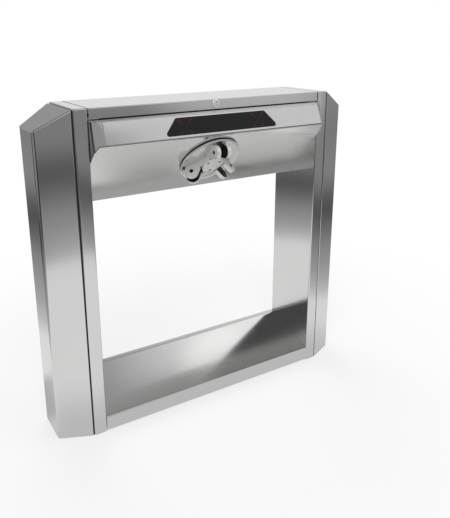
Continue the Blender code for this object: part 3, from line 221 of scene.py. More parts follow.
def shades(color, below, above):
    # A darker and a lighter version of one colour.
    return [c * (1 - below) for c in color], [min(1.0, c * (1 + above)) for c in color]


# What all metals share: scales of the cloudy tone and of the handling marks, where a mark
# begins, the brushed lines' share of the tone, and what clouds and marks do to the shine.
metalWear = {
    "cloudScale": 5.0, "marksScale": 42.0, "marksRange": (0.60, 0.78), "lineShare": 0.6, "cloudRough": 0.05,
    "marksRough": 0.04, "grooveHeight": 0.0004,
}
# Their own numbers. A grain of three is for lines that run along the part or up it.
sheet = {"color": (0.74, 0.74, 0.735), "roughness": 0.115, "depth": 0.007, "wear": 0.05, "spread": 0.04}
metals = {
    "sheetAlong": {**sheet, "grain": (3.0, 700.0, 700.0)},
    "sheetUpright": {**sheet, "grain": (700.0, 700.0, 3.0)},
    "hubSatin": {"color": (0.72, 0.72, 0.71), "roughness": 0.36, "grain": 420.0,
                 "depth": 0.05, "wear": 0.03, "spread": 0.06, "metallic": 0.45},
    "hubDisc": {"color": (0.78, 0.78, 0.775), "roughness": 0.22, "grain": 300.0,
                "depth": 0.02, "wear": 0.02, "spread": 0.05},
    "lockChrome": {"color": (0.92, 0.92, 0.92), "roughness": 0.14, "grain": 300.0,
                   "depth": 0.01, "wear": 0.02, "spread": 0.03, "metallic": 0.55},
    "plainSteel": {"color": (0.52, 0.53, 0.54), "roughness": 0.38, "grain": 180.0,
                   "depth": 0.08, "wear": 0.08, "spread": 0.1, "metallic": 0.8},
    "zincPlate": {"color": (0.62, 0.63, 0.65), "roughness": 0.42, "grain": 60.0,
                  "depth": 0.05, "wear": 0.10, "spread": 0.1, "metallic": 0.7},
    "castHousing": {"color": (0.42, 0.42, 0.42), "roughness": 0.58, "grain": 420.0,
                    "depth": 0.35, "wear": 0.10, "spread": 0.1, "metallic": 0.6},
    "gearBrass": {"color": (0.78, 0.60, 0.28), "roughness": 0.30, "grain": 220.0,
                  "depth": 0.06, "wear": 0.05, "spread": 0.1, "metallic": 0.85},
}


def metal(name, color, roughness, grain, depth, wear, spread, metallic=1.0):
    # Brushed or turned metal: fine lines, faint cloudy tone and a few handling marks.
    finish = Finish(name)
    lines = finish.noise(finish.place(scale=grain), 1.0, 3.0, 0.6)
    cloud = finish.noise(finish.place(), metalWear["cloudScale"], 3.0)
    marks = finish.noise(finish.place(), metalWear["marksScale"], 4.0, 0.7).smooth(*metalWear["marksRange"])
    lineShare = metalWear["lineShare"]
    tone = finish.mix(*shades(color, wear, wear), lines * lineShare + cloud * (1.0 - lineShare))
    rough = roughness + (lines - 0.5) * spread + (cloud - 0.5) * metalWear["cloudRough"]
    rough = rough + marks * metalWear["marksRough"]
    normal = finish.bump(lines, depth, metalWear["grooveHeight"])
    finish.set(color=tone, metallic=metallic, roughness=rough, normal=normal)
    return finish.material


# The same for plastics: the slight drift in tone and shine, then their own numbers.
plasticDrift = {"scale": 14.0, "darker": 0.15, "lighter": 0.25, "rough": 0.12, "skinHeight": 0.0003}
plastics = {
    # The two black finishes also go into sockets, bores, fork slots, the keyhole, the lock's groove and the
    # louvres as painted shade.
    "blackEnamel": {"color": (0.012, 0.012, 0.013), "roughness": 0.42, "coat": 0.2, "specular": 0.3},
    "blackPlastic": {"color": (0.025, 0.025, 0.027), "roughness": 0.5},
    "sealRubber": {"color": (0.014, 0.014, 0.014), "roughness": 0.75, "grain": 500.0, "depth": 0.15},
}


def plastic(name, color, roughness, grain=900.0, depth=0.05, coat=0.0, specular=0.5):
    # Moulded or enamelled surface with a fine skin.
    finish = Finish(name)
    skin = finish.noise(finish.place(), grain)
    drift = finish.noise(finish.place(), plasticDrift["scale"], 3.0)
    tone = finish.mix(*shades(color, plasticDrift["darker"], plasticDrift["lighter"]), drift)
    finish.set(color=tone, roughness=roughness + (drift - 0.5) * plasticDrift["rough"], coat=coat,
               specular=specular, normal=finish.bump(skin, depth, plasticDrift["skinHeight"]))
    return finish.material


# The dark pane, with the faint red of two crosses behind it that show most at their ends.
pane = {
    "color": (0.008, 0.008, 0.009), "roughness": 0.10, "specular": 0.22, "driftScale": 9.0,
    "driftRough": 0.04, "darker": 0.1, "lighter": 0.2,
    "crosses": ((-0.126, -0.154, 0.932), (0.126, -0.154, 0.932)), "ends": (0.010, 0.028),
    "reach": (0.044, 0.030), "arm": (0.0060, 0.0010), "inner": 0.1, "glowColor": (0.045, 0.003, 0.003),
}


def paneFinish():
    finish = Finish("blackPane")
    spot = finish.place()
    drift = finish.noise(spot, pane["driftScale"])
    crosses = []
    for place in pane["crosses"]:
        away = finish.vectors("DISTANCE", spot, place)
        side, height = ((finish.axis(spot, i) - place[i]).size() for i in (0, 2))
        arms = (side - height).size().smooth(*pane["arm"])
        tips = away.smooth(*pane["ends"]) * (1.0 - pane["inner"]) + pane["inner"]
        crosses.append(arms * tips * away.smooth(*pane["reach"]))
    left, right = crosses
    tone = finish.mix(*shades(pane["color"], pane["darker"], pane["lighter"]), drift)
    glow = finish.mix((0, 0, 0), pane["glowColor"], left.top(right))
    finish.set(color=tone, roughness=pane["roughness"] + drift * pane["driftRough"],
               specular=pane["specular"], glow=glow, glowStrength=1.0)
    return finish.material


# Green lacquer over fine copper tracks.
lacquer = {"scale": 260.0, "trackEdge": (0.30, 0.42), "dark": (0.008, 0.10, 0.035),
           "light": (0.02, 0.20, 0.08), "roughness": 0.34, "coat": 0.35, "depth": 0.12, "trackHeight": 0.0002}


def boardFinish():
    finish = Finish("circuitBoard")
    values = {"Vector": finish.place(), "Scale": lacquer["scale"]}
    tracks = finish.node("ShaderNodeTexVoronoi", {"distance": "MANHATTAN"}, values)
    line = tracks.smooth(*lacquer["trackEdge"])
    finish.set(color=finish.mix(lacquer["dark"], lacquer["light"], line), roughness=lacquer["roughness"],
               coat=lacquer["coat"], normal=finish.bump(line, lacquer["depth"], lacquer["trackHeight"]))
    return finish.material


# Enamelled copper wire, wound round the coil.
winding = {"grain": (40.0, 900.0, 900.0), "dark": (0.34, 0.10, 0.03), "light": (0.72, 0.27, 0.10),
           "range": (0.35, 0.65), "metallic": 0.85, "roughness": 0.32, "depth": 0.25, "wireHeight": 0.0003}


def windingFinish():
    finish = Finish("copperWinding")
    turns = finish.noise(finish.place(scale=winding["grain"]), 1.0)
    tone = finish.mix(winding["dark"], winding["light"], turns.smooth(*winding["range"]))
    finish.set(color=tone, metallic=winding["metallic"], roughness=winding["roughness"],
               normal=finish.bump(turns, winding["depth"], winding["wireHeight"]))
    return finish.material


def makeFinishes():
    made = {name: metal(name, **facts) for name, facts in metals.items()}
    made.update({name: plastic(name, **facts) for name, facts in plastics.items()})
    made.update({"circuitBoard": boardFinish(), "copperWinding": windingFinish(), "blackPane": paneFinish()})
    print("finishes", len(made))
    return made


finishes = makeFinishes()
finishOfSlot = {
    "brushed_sheet": "sheetAlong", "hub_satin": "hubSatin", "lock_chrome": "lockChrome",
    "plain_steel": "plainSteel", "zinc_plate": "zincPlate", "cast_housing": "castHousing",
    "black_enamel": "blackEnamel", "black_plastic": "blackPlastic", "black_pane": "blackPane",
    "circuit_board": "circuitBoard", "gear_brass": "gearBrass", "seal_rubber": "sealRubber",
}
ownFinish = {
    "left_post": "sheetUpright", "right_post": "sheetUpright", "left_end_cover": "sheetUpright",
    "right_end_cover": "sheetUpright", "hub_disc": "hubDisc",
}
# How a copy of a CAD shape is cleaned and eased: the angles in degrees, the rest in metres.
copying = {"merge": 0.00001, "flatAngle": 0.6, "edgeAngle": 40, "shadeAngle": 32, "edge": 0.0002}
softEdges = {
    "hub_body": 0.0009, "hub_disc": 0.0003, "hub_cap": 0.0004, "lock_body": 0.0004, "lid_seal": 0.0003,
    "main_shaft": 0.0004, "power_supply": 0.0008, "damper_body": 0.0006, "controller_board": 0.0003,
    "display_board": 0.0003,
}


def dress(piece, *names):
    piece.data.materials.clear()
    for name in names:
        piece.data.materials.append(finishes[name])


def paintFaces(piece, test, index):
    for face in piece.data.polygons:
        if test(face.center, face.normal):
            face.material_index = index


def twoTone(piece, main, second, test):
    # The second finish goes on the faces that a test on place and normal names.
    dress(piece, main, second)
    paintFaces(piece, test, 1)


def applied(piece, kind, name, **settings):
    modifier = piece.modifiers.new(name, kind)
    for key, value in settings.items():
        setattr(modifier, key, value)
    pick(piece)
    bpy.ops.object.modifier_apply(modifier=modifier.name)


def eased(piece, width, segments=2):
    applied(piece, "BEVEL", "easedEdges", width=width, segments=segments, limit_method="ANGLE",
            angle_limit=math.radians(copying["edgeAngle"]))


def shaded(piece, angle=copying["shadeAngle"]):
    # Curves smooth, and large flat faces flat right up to their bends.
    pick(piece)
    bpy.ops.object.shade_smooth_by_angle(angle=math.radians(angle))
    applied(piece, "WEIGHTED_NORMAL", "flatFaces", mode="FACE_AREA", keep_sharp=True)


def kept(piece, body, slot, *names):
    # Rides on a body; the slot is not used. Without names it keeps the finish it has.
    if names:
        dress(piece, *names)
    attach(piece, body)
    return piece


# The end covers' outer folds, drawn up wider than the CAD's: the corner where the two faces
# would meet, the slanted face's fall in depth for each step along, how near and how deep
# the fold's skin lies, the heights below its top and above its foot, how much wider it gets,
# and how much its top then rises.
coverFold = {"corner": (0.540, 0.0640), "fall": 0.4335, "near": 0.0043, "skin": 0.0006, "top": 0.9410,
             "foot": 0.0640, "widen": 2.1, "rise": 0.56}


def widenFolds(piece):
    x0, y0 = coverFold["corner"]
    fall, wide = coverFold["fall"], coverFold["widen"]
    for vertex in piece.data.vertices:
        x, y, z = vertex.co
        inward, outward = x0 - abs(x), abs(y) - y0
        skin = min(inward, (fall * inward - outward) / math.hypot(1.0, fall))
        near = math.hypot(inward, outward) < coverFold["near"]
        if z < coverFold["top"] and skin < coverFold["skin"] and near:
            rise = coverFold["rise"] * inward * (wide - 1.0) if z > coverFold["foot"] else 0.0
            along, deep = x0 - inward * wide, y0 + outward * wide
            vertex.co = (math.copysign(along, x), math.copysign(deep, y), z + rise)


def fineCopy(node):
    # The CAD shape with its flat triangles merged, its edges eased and its curves shaded smooth.
    piece = bpy.data.objects.new(node + "_fine", nodes[node].data.copy())
    bpy.context.scene.collection.objects.link(piece)
    pick(piece)
    bpy.ops.object.mode_set(mode="EDIT")
    bpy.ops.mesh.select_all(action="SELECT")
    bpy.ops.mesh.remove_doubles(threshold=copying["merge"])
    bpy.ops.mesh.dissolve_limited(angle_limit=math.radians(copying["flatAngle"]))
    bpy.ops.object.mode_set(mode="OBJECT")
    if node.endswith("end_cover"):
        widenFolds(piece)
    else:
        eased(piece, softEdges.get(node, copying["edge"]))
    shaded(piece)
    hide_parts(node)
    return kept(piece, bodyOf[node], slotOf[node], ownFinish.get(node, finishOfSlot[slotOf[node]]))


def cutAway(piece, test):
    # Deletes the faces that a test on place and normal names.
    pick(piece)
    bpy.ops.object.mode_set(mode="EDIT")
    bpy.ops.mesh.select_mode(type="FACE")
    bpy.ops.mesh.select_all(action="DESELECT")
    cage = bmesh.from_edit_mesh(piece.data)
    for face in cage.faces:
        face.select_set(test(face.calc_center_median(), face.normal))
    bmesh.update_edit_mesh(piece.data)
    bpy.ops.mesh.delete(type="FACE")
    bpy.ops.object.mode_set(mode="OBJECT")


def settled(name):
    # Names the primitive just added, and puts its place into its mesh.
    piece = bpy.context.active_object
    piece.name = name
    pick(piece)
    bpy.ops.object.transform_apply(location=True, rotation=True, scale=True)
    return piece


def turned(name, steps, vertices=24):
    # A round piece, drawn up from a disc: each step is a radius and a height.
    radius, height = steps[0]
    deselectAll()
    bpy.ops.mesh.primitive_circle_add(vertices=vertices, radius=radius, fill_type="NGON",
                                      location=(0, 0, height))
    piece = settled(name)
    bpy.ops.object.mode_set(mode="EDIT")
    bpy.ops.mesh.select_all(action="SELECT")
    for nextRadius, nextHeight in steps[1:]:
        bpy.ops.mesh.extrude_region_move(TRANSFORM_OT_translate={"value": (0, 0, nextHeight - height)})
        if nextRadius != radius:
            ratio = nextRadius / radius
            bpy.ops.transform.resize(value=(ratio, ratio, 1))
        radius, height = nextRadius, nextHeight
    bpy.ops.mesh.select_all(action="SELECT")
    bpy.ops.mesh.normals_make_consistent(inside=False)
    bpy.ops.object.mode_set(mode="OBJECT")
    return piece


def ring(name, radius, bore, low, high):
    # A tube between two heights, with its wall on the inside.
    deselectAll()
    bpy.ops.mesh.primitive_cylinder_add(vertices=40, radius=radius, depth=high - low, end_fill_type="NOTHING",
                                        location=(0, 0, (low + high) / 2))
    piece = settled(name)
    applied(piece, "SOLIDIFY", "wall", thickness=radius - bore, offset=-1.0)
    return piece


def block(name, low, high):
    # A box between two corners, ready to be shaped.
    deselectAll()
    bpy.ops.mesh.primitive_cube_add(size=1, location=[(a + b) / 2 for a, b in zip(low, high)])
    bpy.context.active_object.scale = [b - a for a, b in zip(low, high)]
    return settled(name)


def carved(piece, cutter):
    applied(piece, "BOOLEAN", "hollow", operation="DIFFERENCE", object=cutter, solver="EXACT")
    bpy.data.objects.remove(cutter)


def again(piece, name, matrix):
    # A copy of a finished piece with its own mesh, at another place.
    copy = piece.copy()
    copy.data = piece.data.copy()
    copy.name = name
    bpy.context.scene.collection.objects.link(copy)
    copy.data.transform(matrix)
    copy.data.update()
    return copy


def onFork(angle, side):
    # From a piece drawn upright at the origin to a fork's pivot, with Z along the pivot.
    lead = Matrix.Rotation(math.radians(angle), 4, "Z")
    pivot = Matrix.Translation((hub["pivotRadius"], side, hub["pivotHeight"]))
    return hubFrame @ lead @ pivot @ Matrix.Rotation(math.radians(-90 if side > 0 else 90), 4, "X")


def onCircle(radius, angle, height=0.0):
    # A place on a circle round the shaft, in the hub's frame.
    lead = math.radians(angle)
    return hubFrame @ Matrix.Translation((radius * math.cos(lead), radius * math.sin(lead), height))


# Plain fine copies for all but the nodes that get pieces of their own below.
remade = {"hub_screw_1", "hub_screw_2", "hub_screw_3", "entry_solenoid", "exit_solenoid"}
fine = {node: fineCopy(node) for node in sorted(nodes) if node not in remade}
print("fine copies", len(fine))


def finishHub():
    # The inside of each fork slot is black, down to its floor, and so are the pivot bores, as painted
    # shade. The disc's outer wall keeps a satin finish, duller than its polished face.
    back = hubFrame.inverted()
    turn = back.to_3x3()
    half, floor = hub["slotHalf"] + picking["margin"], hub["slotFloor"] - picking["margin"]

    def inFork(place, normal):
        spot, facing = back @ place, turn @ normal
        for angle in hub["forkAngles"]:
            east, north = math.cos(math.radians(angle)), math.sin(math.radians(angle))
            out = spot.x * east + spot.y * north
            across = spot.y * east - spot.x * north
            bore = math.hypot(out - hub["pivotRadius"], spot.z - hub["pivotHeight"])
            sideways = abs(facing.y * east - facing.x * north)
            if out > floor and abs(across) < half or bore < hub["boreReach"] and sideways < hub["boreFacing"]:
                return True
        return False

    def onRim(place, normal):
        return (back @ place).xy.length > hub["rimReach"] and abs((turn @ normal).z) < picking["wall"]

    twoTone(fine["hub_body"], "hubSatin", "blackEnamel", inFork)
    twoTone(fine["hub_disc"], "hubDisc", "hubSatin", onRim)
    print("fork slots and disc rim")


finishHub()

# Flanged bushings round the forks' pivot bores, on the outside of both ears.
bushing = {"radius": 0.0135, "bore": 0.0062, "sunk": 0.0002, "proud": 0.0012, "edge": 0.0004}


def makeBushings():
    first = ring("forkBushing_1", bushing["radius"], bushing["bore"], -bushing["sunk"], bushing["proud"])
    eased(first, bushing["edge"])
    shaded(first)
    # The bore's wall is black, as painted shade.
    reach = bushing["bore"] + picking["margin"]
    twoTone(first, "hubSatin", "blackEnamel",
            lambda spot, facing: spot.xy.length < reach and abs(facing.z) < picking["wall"])
    spots = [(angle, side * hub["earSide"]) for angle in hub["forkAngles"] for side in (-1, 1)]
    for count, spot in enumerate(spots[1:], 2):
        kept(again(first, "forkBushing_%d" % count, onFork(*spot)), "rotor", "hub_satin")
    first.data.transform(onFork(*spots[0]))
    kept(first, "rotor", "hub_satin")
    print("fork bushings", len(spots))


makeBushings()

# Socket screws: radius and height of the head, radius and length of the shank, the head's
# eased edge, and the hexagon's radius and depth. The hub's stand on a circle at a height.
capScrew = {"head": 0.0044, "rise": 0.0055, "shank": 0.0026, "length": 0.0153, "edge": 0.0006,
            "socket": 0.0029, "depth": 0.003, "circle": 0.0245, "foot": 0.0056}
smallScrew = {"head": 0.0035, "rise": 0.0028, "shank": 0.0018, "length": 0.002, "edge": 0.0005,
              "socket": 0.0019, "depth": 0.0016}


def socketScrew(name, facts, foot):
    # Drawn upright, with the shank's end at the foot's height.
    seat = foot + facts["length"]
    top = seat + facts["rise"]
    head, shank, edge, depth = (facts[key] for key in ("head", "shank", "edge", "depth"))
    corner = edge * 0.3
    piece = turned(name, [(shank, foot), (shank, seat), (head, seat), (head, top - edge),
                          (head - corner, top - corner), (head - edge, top)])
    deselectAll()
    bpy.ops.mesh.primitive_cylinder_add(vertices=6, radius=facts["socket"], depth=2 * depth,
                                        location=(0, 0, top))
    carved(piece, bpy.context.active_object)
    shaded(piece, 35)
    # The hexagon socket's faces are black, as painted shade.
    low, high = -depth - picking["skin"], -picking["skin"]
    twoTone(piece, "plainSteel", "blackEnamel",
            lambda spot, facing: spot.xy.length < facts["socket"] and low < spot.z - top < high)
    return piece


def makeHubScrews():
    for number, angle in enumerate(hub["screwAngles"], 1):
        piece = socketScrew("hubSocketScrew_%d" % number, capScrew, capScrew["foot"])
        piece.data.transform(onCircle(capScrew["circle"], angle))
        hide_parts("hub_screw_%d" % number)
        kept(piece, "rotor", slotOf["hub_screw_1"])
    print("hub screws")


makeHubScrews()

# Screws in the bearing housings' flanges: their circle, and each flange's outer level.
housingScrews = {"circle": 0.0345, "angles": (45, 135, 225, 315), "levels": (-0.0243, -0.1003)}


def makeHousingScrews():
    first = socketScrew("housingScrew_1", smallScrew, -smallScrew["length"])
    over = Matrix.Rotation(math.pi, 4, "X")
    spots = [(angle, level) for level in housingScrews["levels"] for angle in housingScrews["angles"]]
    for count, spot in enumerate(spots, 2):
        piece = again(first, "housingScrew_%d" % count, onCircle(housingScrews["circle"], *spot) @ over)
        kept(piece, "cabinet", "plain_steel")
    bpy.data.objects.remove(first)
    print("housing screws", len(spots))


makeHousingScrews()

# Open-frame solenoids in the hub's frame: the right bracket's corners and plate, the bore that
# is cut through its end, the coil's axis and radius, and the bobbin's ends.
solenoid = {
    "low": (0.094, -0.076, -0.0897), "high": (0.130, -0.026, -0.0503), "plate": 0.0022, "edge": 0.0005,
    "bore": 0.0066, "cut": 0.02, "axis": (0.112, -0.070), "coil": 0.0158, "flange": 0.0174,
    "flangeWidth": 0.0016, "flangeEdge": 0.0003, "gap": 0.0001,
}


def makeSolenoid(side, word):
    low, high, bore = solenoid["low"], solenoid["high"], solenoid["bore"]
    bracket = block(word + "SolenoidBracket", low, high)
    cutAway(bracket, lambda spot, normal: normal.z > 0.9 or abs(normal.x) > 0.9)
    applied(bracket, "SOLIDIFY", "wall", thickness=solenoid["plate"], offset=-1.0)
    x, z = solenoid["axis"]
    deselectAll()
    bpy.ops.mesh.primitive_cylinder_add(vertices=32, radius=bore, depth=solenoid["cut"],
                                        location=(x, high[1], z), rotation=(math.pi / 2, 0, 0))
    carved(bracket, bpy.context.active_object)
    eased(bracket, solenoid["edge"])
    # Coil and ends are drawn upright and then laid down, so their heights run towards -Y.
    thick, gap = solenoid["flangeWidth"], solenoid["gap"]
    front, rear = -high[1] + solenoid["plate"], -low[1] - solenoid["plate"]
    coil = ring(word + "SolenoidCoil", solenoid["coil"], bore, front + thick, rear - thick)
    ends = []
    for number, at in enumerate((front + gap, rear - thick - gap), 1):
        end = ring("%sBobbinEnd_%d" % (word, number), solenoid["flange"], bore, at, at + thick)
        eased(end, solenoid["flangeEdge"])
        ends.append(end)
    lie = Matrix.Translation((x, 0, z)) @ Matrix.Rotation(math.pi / 2, 4, "X")
    for piece, matrix in [(bracket, Matrix())] + [(item, lie) for item in [coil] + ends]:
        piece.data.transform(hubFrame @ Matrix.Diagonal((side, 1, 1, 1)) @ matrix)
        if side < 0:
            piece.data.flip_normals()
        shaded(piece)
    kept(bracket, "cabinet", "zinc_plate", "zincPlate")
    kept(coil, "cabinet", slotOf[word + "_solenoid"], "copperWinding")
    for end in ends:
        kept(end, "cabinet", "black_plastic", "blackPlastic")
    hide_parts(word + "_solenoid")


for side, word in ((1, "entry"), (-1, "exit")):
    makeSolenoid(side, word)
print("solenoids")

# The controller board's front face and thickness, and its parts: lowest and highest x and z,
# and the finish.
board = {
    "node": "controller_board", "face": 0.0957, "thickness": 0.0018,
    "parts": (
        ((0.179, 0.253), (0.776, 0.794), "blackPlastic"),
        ((0.179, 0.301), (0.850, 0.864), "blackPlastic"),
        ((0.214, 0.242), (0.809, 0.837), "blackEnamel"),
        ((0.285, 0.315), (0.794, 0.830), "blackPlastic"),
        ((0.255, 0.284), (0.826, 0.840), "zincPlate"),
    ),
}


def paintBoard():
    piece = fine[board["node"]]
    names = ["circuitBoard", "plainSteel"] + sorted({finish for _, _, finish in board["parts"]})
    dress(piece, *names)
    paintFaces(piece, lambda spot, facing: spot.y > board["face"] + board["thickness"], 1)
    for (left, right), (low, high), finish in board["parts"]:
        paintFaces(piece, lambda spot, facing: spot.y < board["face"] and left < spot.x < right
                   and low < spot.z < high, names.index(finish))
    print("board parts")


paintBoard()

# Terminal screws, three on each small block: the blocks' middles along the board, the height
# and front of their tops, the head's shape as shares of its rise and radius, and the slot.
terminals = {
    "blocks": (0.190, 0.216, 0.242), "spacing": 0.0062, "level": 0.789, "front": 0.0798, "radius": 0.0017,
    "rise": 0.0006, "wallShare": 0.6, "topShare": 0.8, "slotHalf": (0.003, 0.0003), "slotShare": 0.4,
    "slotTop": 0.003,
}


def makeTerminals():
    radius, rise = terminals["radius"], terminals["rise"]
    first = turned("terminalScrew_1", [(radius, 0), (radius, rise * terminals["wallShare"]),
                                       (radius * terminals["topShare"], rise)], 16)
    long, wide = terminals["slotHalf"]
    floor = rise * terminals["slotShare"]
    carved(first, block("slot", (-long, -wide, floor), (long, wide, terminals["slotTop"])))
    shaded(first)
    lie = Matrix.Rotation(math.pi / 2, 4, "X")
    places = [middle + step * terminals["spacing"] for middle in terminals["blocks"] for step in (-1, 0, 1)]
    for count, x in enumerate(places, 2):
        place = Matrix.Translation((x, terminals["front"], terminals["level"]))
        kept(again(first, "terminalScrew_%d" % count, place @ lie), "cabinet", "plain_steel", "plainSteel")
    bpy.data.objects.remove(first)
    print("terminal screws", len(places))


makeTerminals()

# Rivets of the lid's hinge: their heads, places along the hinge, the faces of both leaves, and
# how far in from a leaf's edge they sit.
rivet = {"radius": 0.0032, "rise": 0.0012, "sunk": 0.0002, "domeAngles": (25, 50, 70), "every": 0.080,
         "count": 8, "lidLevel": 0.9962, "fixedLevel": 0.1042, "fromEdge": 0.011}


def makeRivets():
    reach, rise, sunk = rivet["radius"], rivet["rise"], rivet["sunk"]
    dome = [math.radians(angle) for angle in rivet["domeAngles"]]
    steps = [(reach, -sunk), (reach, sunk)] + [(reach * math.cos(a), sunk + rise * math.sin(a)) for a in dome]
    first = turned("hingeRivet_1", steps, 20)
    shaded(first, 50)
    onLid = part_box("hinge_moving_leaf")[0][1] + rivet["fromEdge"]
    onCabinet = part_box("hinge_fixed_leaf")[0][2] + rivet["fromEdge"]
    down = Matrix.Rotation(math.pi, 4, "X")
    forward = Matrix.Rotation(math.pi / 2, 4, "X")
    leaves = []
    for k in range(rivet["count"]):
        x = (k - (rivet["count"] - 1) / 2) * rivet["every"]
        leaves.append(("lid", (x, onLid, rivet["lidLevel"]), down))
        leaves.append(("cabinet", (x, rivet["fixedLevel"], onCabinet), forward))
    for count, (body, place, turn) in enumerate(leaves, 2):
        piece = again(first, "hingeRivet_%d" % count, Matrix.Translation(place) @ turn)
        kept(piece, body, "plain_steel", "plainSteel")
    bpy.data.objects.remove(first)
    print("hinge rivets", len(leaves))


makeRivets()

# The lid lock's raised collar, how far it laps over the body's face, and the keyhole: half its
# width and height, and the depths between which its faces are black, as painted shade.
lock = {"radius": 0.0108, "bore": 0.0068, "lap": 0.0004, "proud": 0.0016, "edge": 0.0007,
        "keyHalf": (0.0008, 0.0034), "keyDepth": (0.0001, 0.006)}


def makeLock():
    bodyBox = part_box("lock_body")
    face, coreFront = bodyBox[0][1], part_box("lock_core")[0][1]
    level = (bodyBox[0][2] + bodyBox[1][2]) / 2
    collar = ring("lockCollar", lock["radius"], lock["bore"], -lock["lap"], lock["proud"])
    eased(collar, lock["edge"], 3)
    shaded(collar, 60)
    collar.data.transform(Matrix.Translation((0, face, level)) @ Matrix.Rotation(math.pi / 2, 4, "X"))
    kept(collar, "lid", "lock_chrome", "lockChrome")
    # The body's face inside the collar is black, as painted shade in the groove round the core.
    inner = lock["bore"] + lock["lap"]
    twoTone(fine["lock_body"], "lockChrome", "blackEnamel",
            lambda spot, facing: math.hypot(spot.x, spot.z - level) < inner and spot.y < face + lock["lap"])
    wide, tall = lock["keyHalf"]
    near, deep = (coreFront + depth for depth in lock["keyDepth"])
    twoTone(fine["lock_core"], "lockChrome", "blackEnamel",
            lambda spot, facing: abs(spot.x) < wide and abs(spot.z - level) < tall and near < spot.y < deep)
    print("lid lock")


makeLock()

# Louvres in the power supply's front: first slot, spacing, size, how far ahead of the front the
# cut begins, and how far past a slot's ends its faces may lie.
vents = {"left": -0.313, "every": 0.0085, "count": 17, "width": 0.003, "low": 0.780, "high": 0.822,
         "depth": 0.0016, "ahead": 0.01, "beyond": 0.001}


def ventSupply():
    piece = fine["power_supply"]
    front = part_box("power_supply")[0][1]
    cutter = block("louvres", (vents["left"], front - vents["ahead"], vents["low"]),
                   (vents["left"] + vents["width"], front + vents["depth"], vents["high"]))
    applied(cutter, "ARRAY", "row", count=vents["count"], use_relative_offset=False, use_constant_offset=True,
            constant_offset_displace=(vents["every"], 0, 0))
    carved(piece, cutter)
    # The louvres' walls and floors are black, as painted shade.
    near, deep = front + picking["margin"], front + vents["depth"] + picking["margin"]
    low, high = vents["low"] - vents["beyond"], vents["high"] + vents["beyond"]
    twoTone(piece, "zincPlate", "blackPlastic",
            lambda spot, facing: near < spot.y < deep and low < spot.z < high)
    print("supply louvres")


ventSupply()

# The photo's camera: angles in degrees, the sensor and lens in millimetres.
camera = {
    "place": (-0.9248, -1.5982, 1.1854), "azimuth": -30.674, "elevation": 16.179, "roll": -0.448,
    "lens": 40.57, "sensor": 36.0, "shift": (0.0396, -0.1071),
}
# What the metal mirrors: a pale floor round the object that falls off to dark, as in an unlit
# room, under grey walls with a few soft bright fields. The floor's tones go by distance, in
# ellipses of that turn, shift and reach round the object. A field is (direction, cosine range,
# strength, and the straight edge that it ends at), and an edge is (the side it keeps,
# softness). Flags are dark stripes on the floor that the end covers' folds pick up, by their
# direction from one of those folds and their cosine range.
mirrored = {
    "turn": -30.7, "shift": -0.1, "reach": (1.10, 1.92), "span": 8.0,
    "floor": (
        (0.0, 0.84), (0.82, 0.84), (0.92, 0.60), (1.05, 0.46), (1.20, 0.37), (1.45, 0.29), (1.70, 0.18),
        (2.0, 0.10), (2.3, 0.12), (2.6, 0.20), (3.0, 0.27), (5.0, 0.24), (8.0, 0.28),
    ),
    "front": {"place": (-0.45, -0.75), "radii": (1.20, 0.96), "tone": 0.84},
    "shade": {"front": (-0.40, -0.14), "behind": (0.0, 0.10), "end": (0.34, 0.24), "half": (0.80, 0.50),
              "share": 0.24},
    "far": {"direction": (0.574, -0.819), "cosines": (0.975, 1.0), "from": (4.5, 9.0), "strength": 0.30},
    "walls": 0.35,
    "flags": (((-0.777, -0.629), (0.966, 0.980)), ((-0.866, 0.500), (0.972, 0.987))),
    "flagsFrom": (-0.52, -0.07), "flagReach": (1.2, 2.2), "flagShade": 0.88,
    "edges": {
        "front": ((0.0, -0.846, -0.533), (-0.004, 0.016)),
        "over": ((0.0, 0.976, -0.215), (-0.02, 0.025)),
    },
    "dark": ((-0.55, 0.22, 0.81), (0.80, 0.96), 0.74),
    "fields": (
        ((0.583, -0.694, 0.423), (0.93, 0.995), 0.72, None),
        ((0.45, -0.54, 0.71), (0.90, 0.985), 0.95, "front"),
        ((0.32, -0.49, 0.81), (0.9980, 0.9998), 1.30, None),
        ((-0.55, -0.50, 0.67), (0.95, 0.99), 1.35, "front"),
        ((-0.58, -0.42, 0.70), (0.96, 0.99), 0.80, None),
        ((0.70, 0.25, 0.67), (0.80, 1.01), 1.15, "over"),
        ((0.46, 0.20, 0.865), (0.9945, 0.9992), 1.25, "over"),
        ((0.60, 0.80, 0.03), (0.72, 0.96), 0.82, None),
    ),
}
studio = {
    "floorSize": 40.0, "floorLevel": -0.0004, "floorColor": 0.90, "floorFade": (0.6, 1.8), "shadowShare": 0.4,
    "skyLight": 0.55,
    "lamps": {
        "key": {"place": (-1.6, -2.4, 3.4), "aim": (0.0, 0.0, 0.5), "size": 2.4, "power": 62.0},
        "fill": {"place": (2.6, -1.6, 2.2), "aim": (0.0, 0.0, 0.5), "size": 2.2, "power": 26.0},
        "back": {"place": (0.4, 2.6, 2.8), "aim": (0.0, 0.0, 0.7), "size": 2.6, "power": 40.0},
    },
}


def makeLamp(name, facts):
    lamp = bpy.data.lights.new(name, "AREA")
    lamp.shape = "SQUARE"
    lamp.size = facts["size"]
    lamp.energy = facts["power"]
    item = bpy.data.objects.new(name, lamp)
    item.location = facts["place"]
    item.rotation_euler = (Vector(facts["place"]) - Vector(facts["aim"])).to_track_quat("Z", "Y").to_euler()
    item.visible_glossy = False
    bpy.context.scene.collection.objects.link(item)


def distance(dx, dy):
    return (dx * dx + dy * dy) ** 0.5


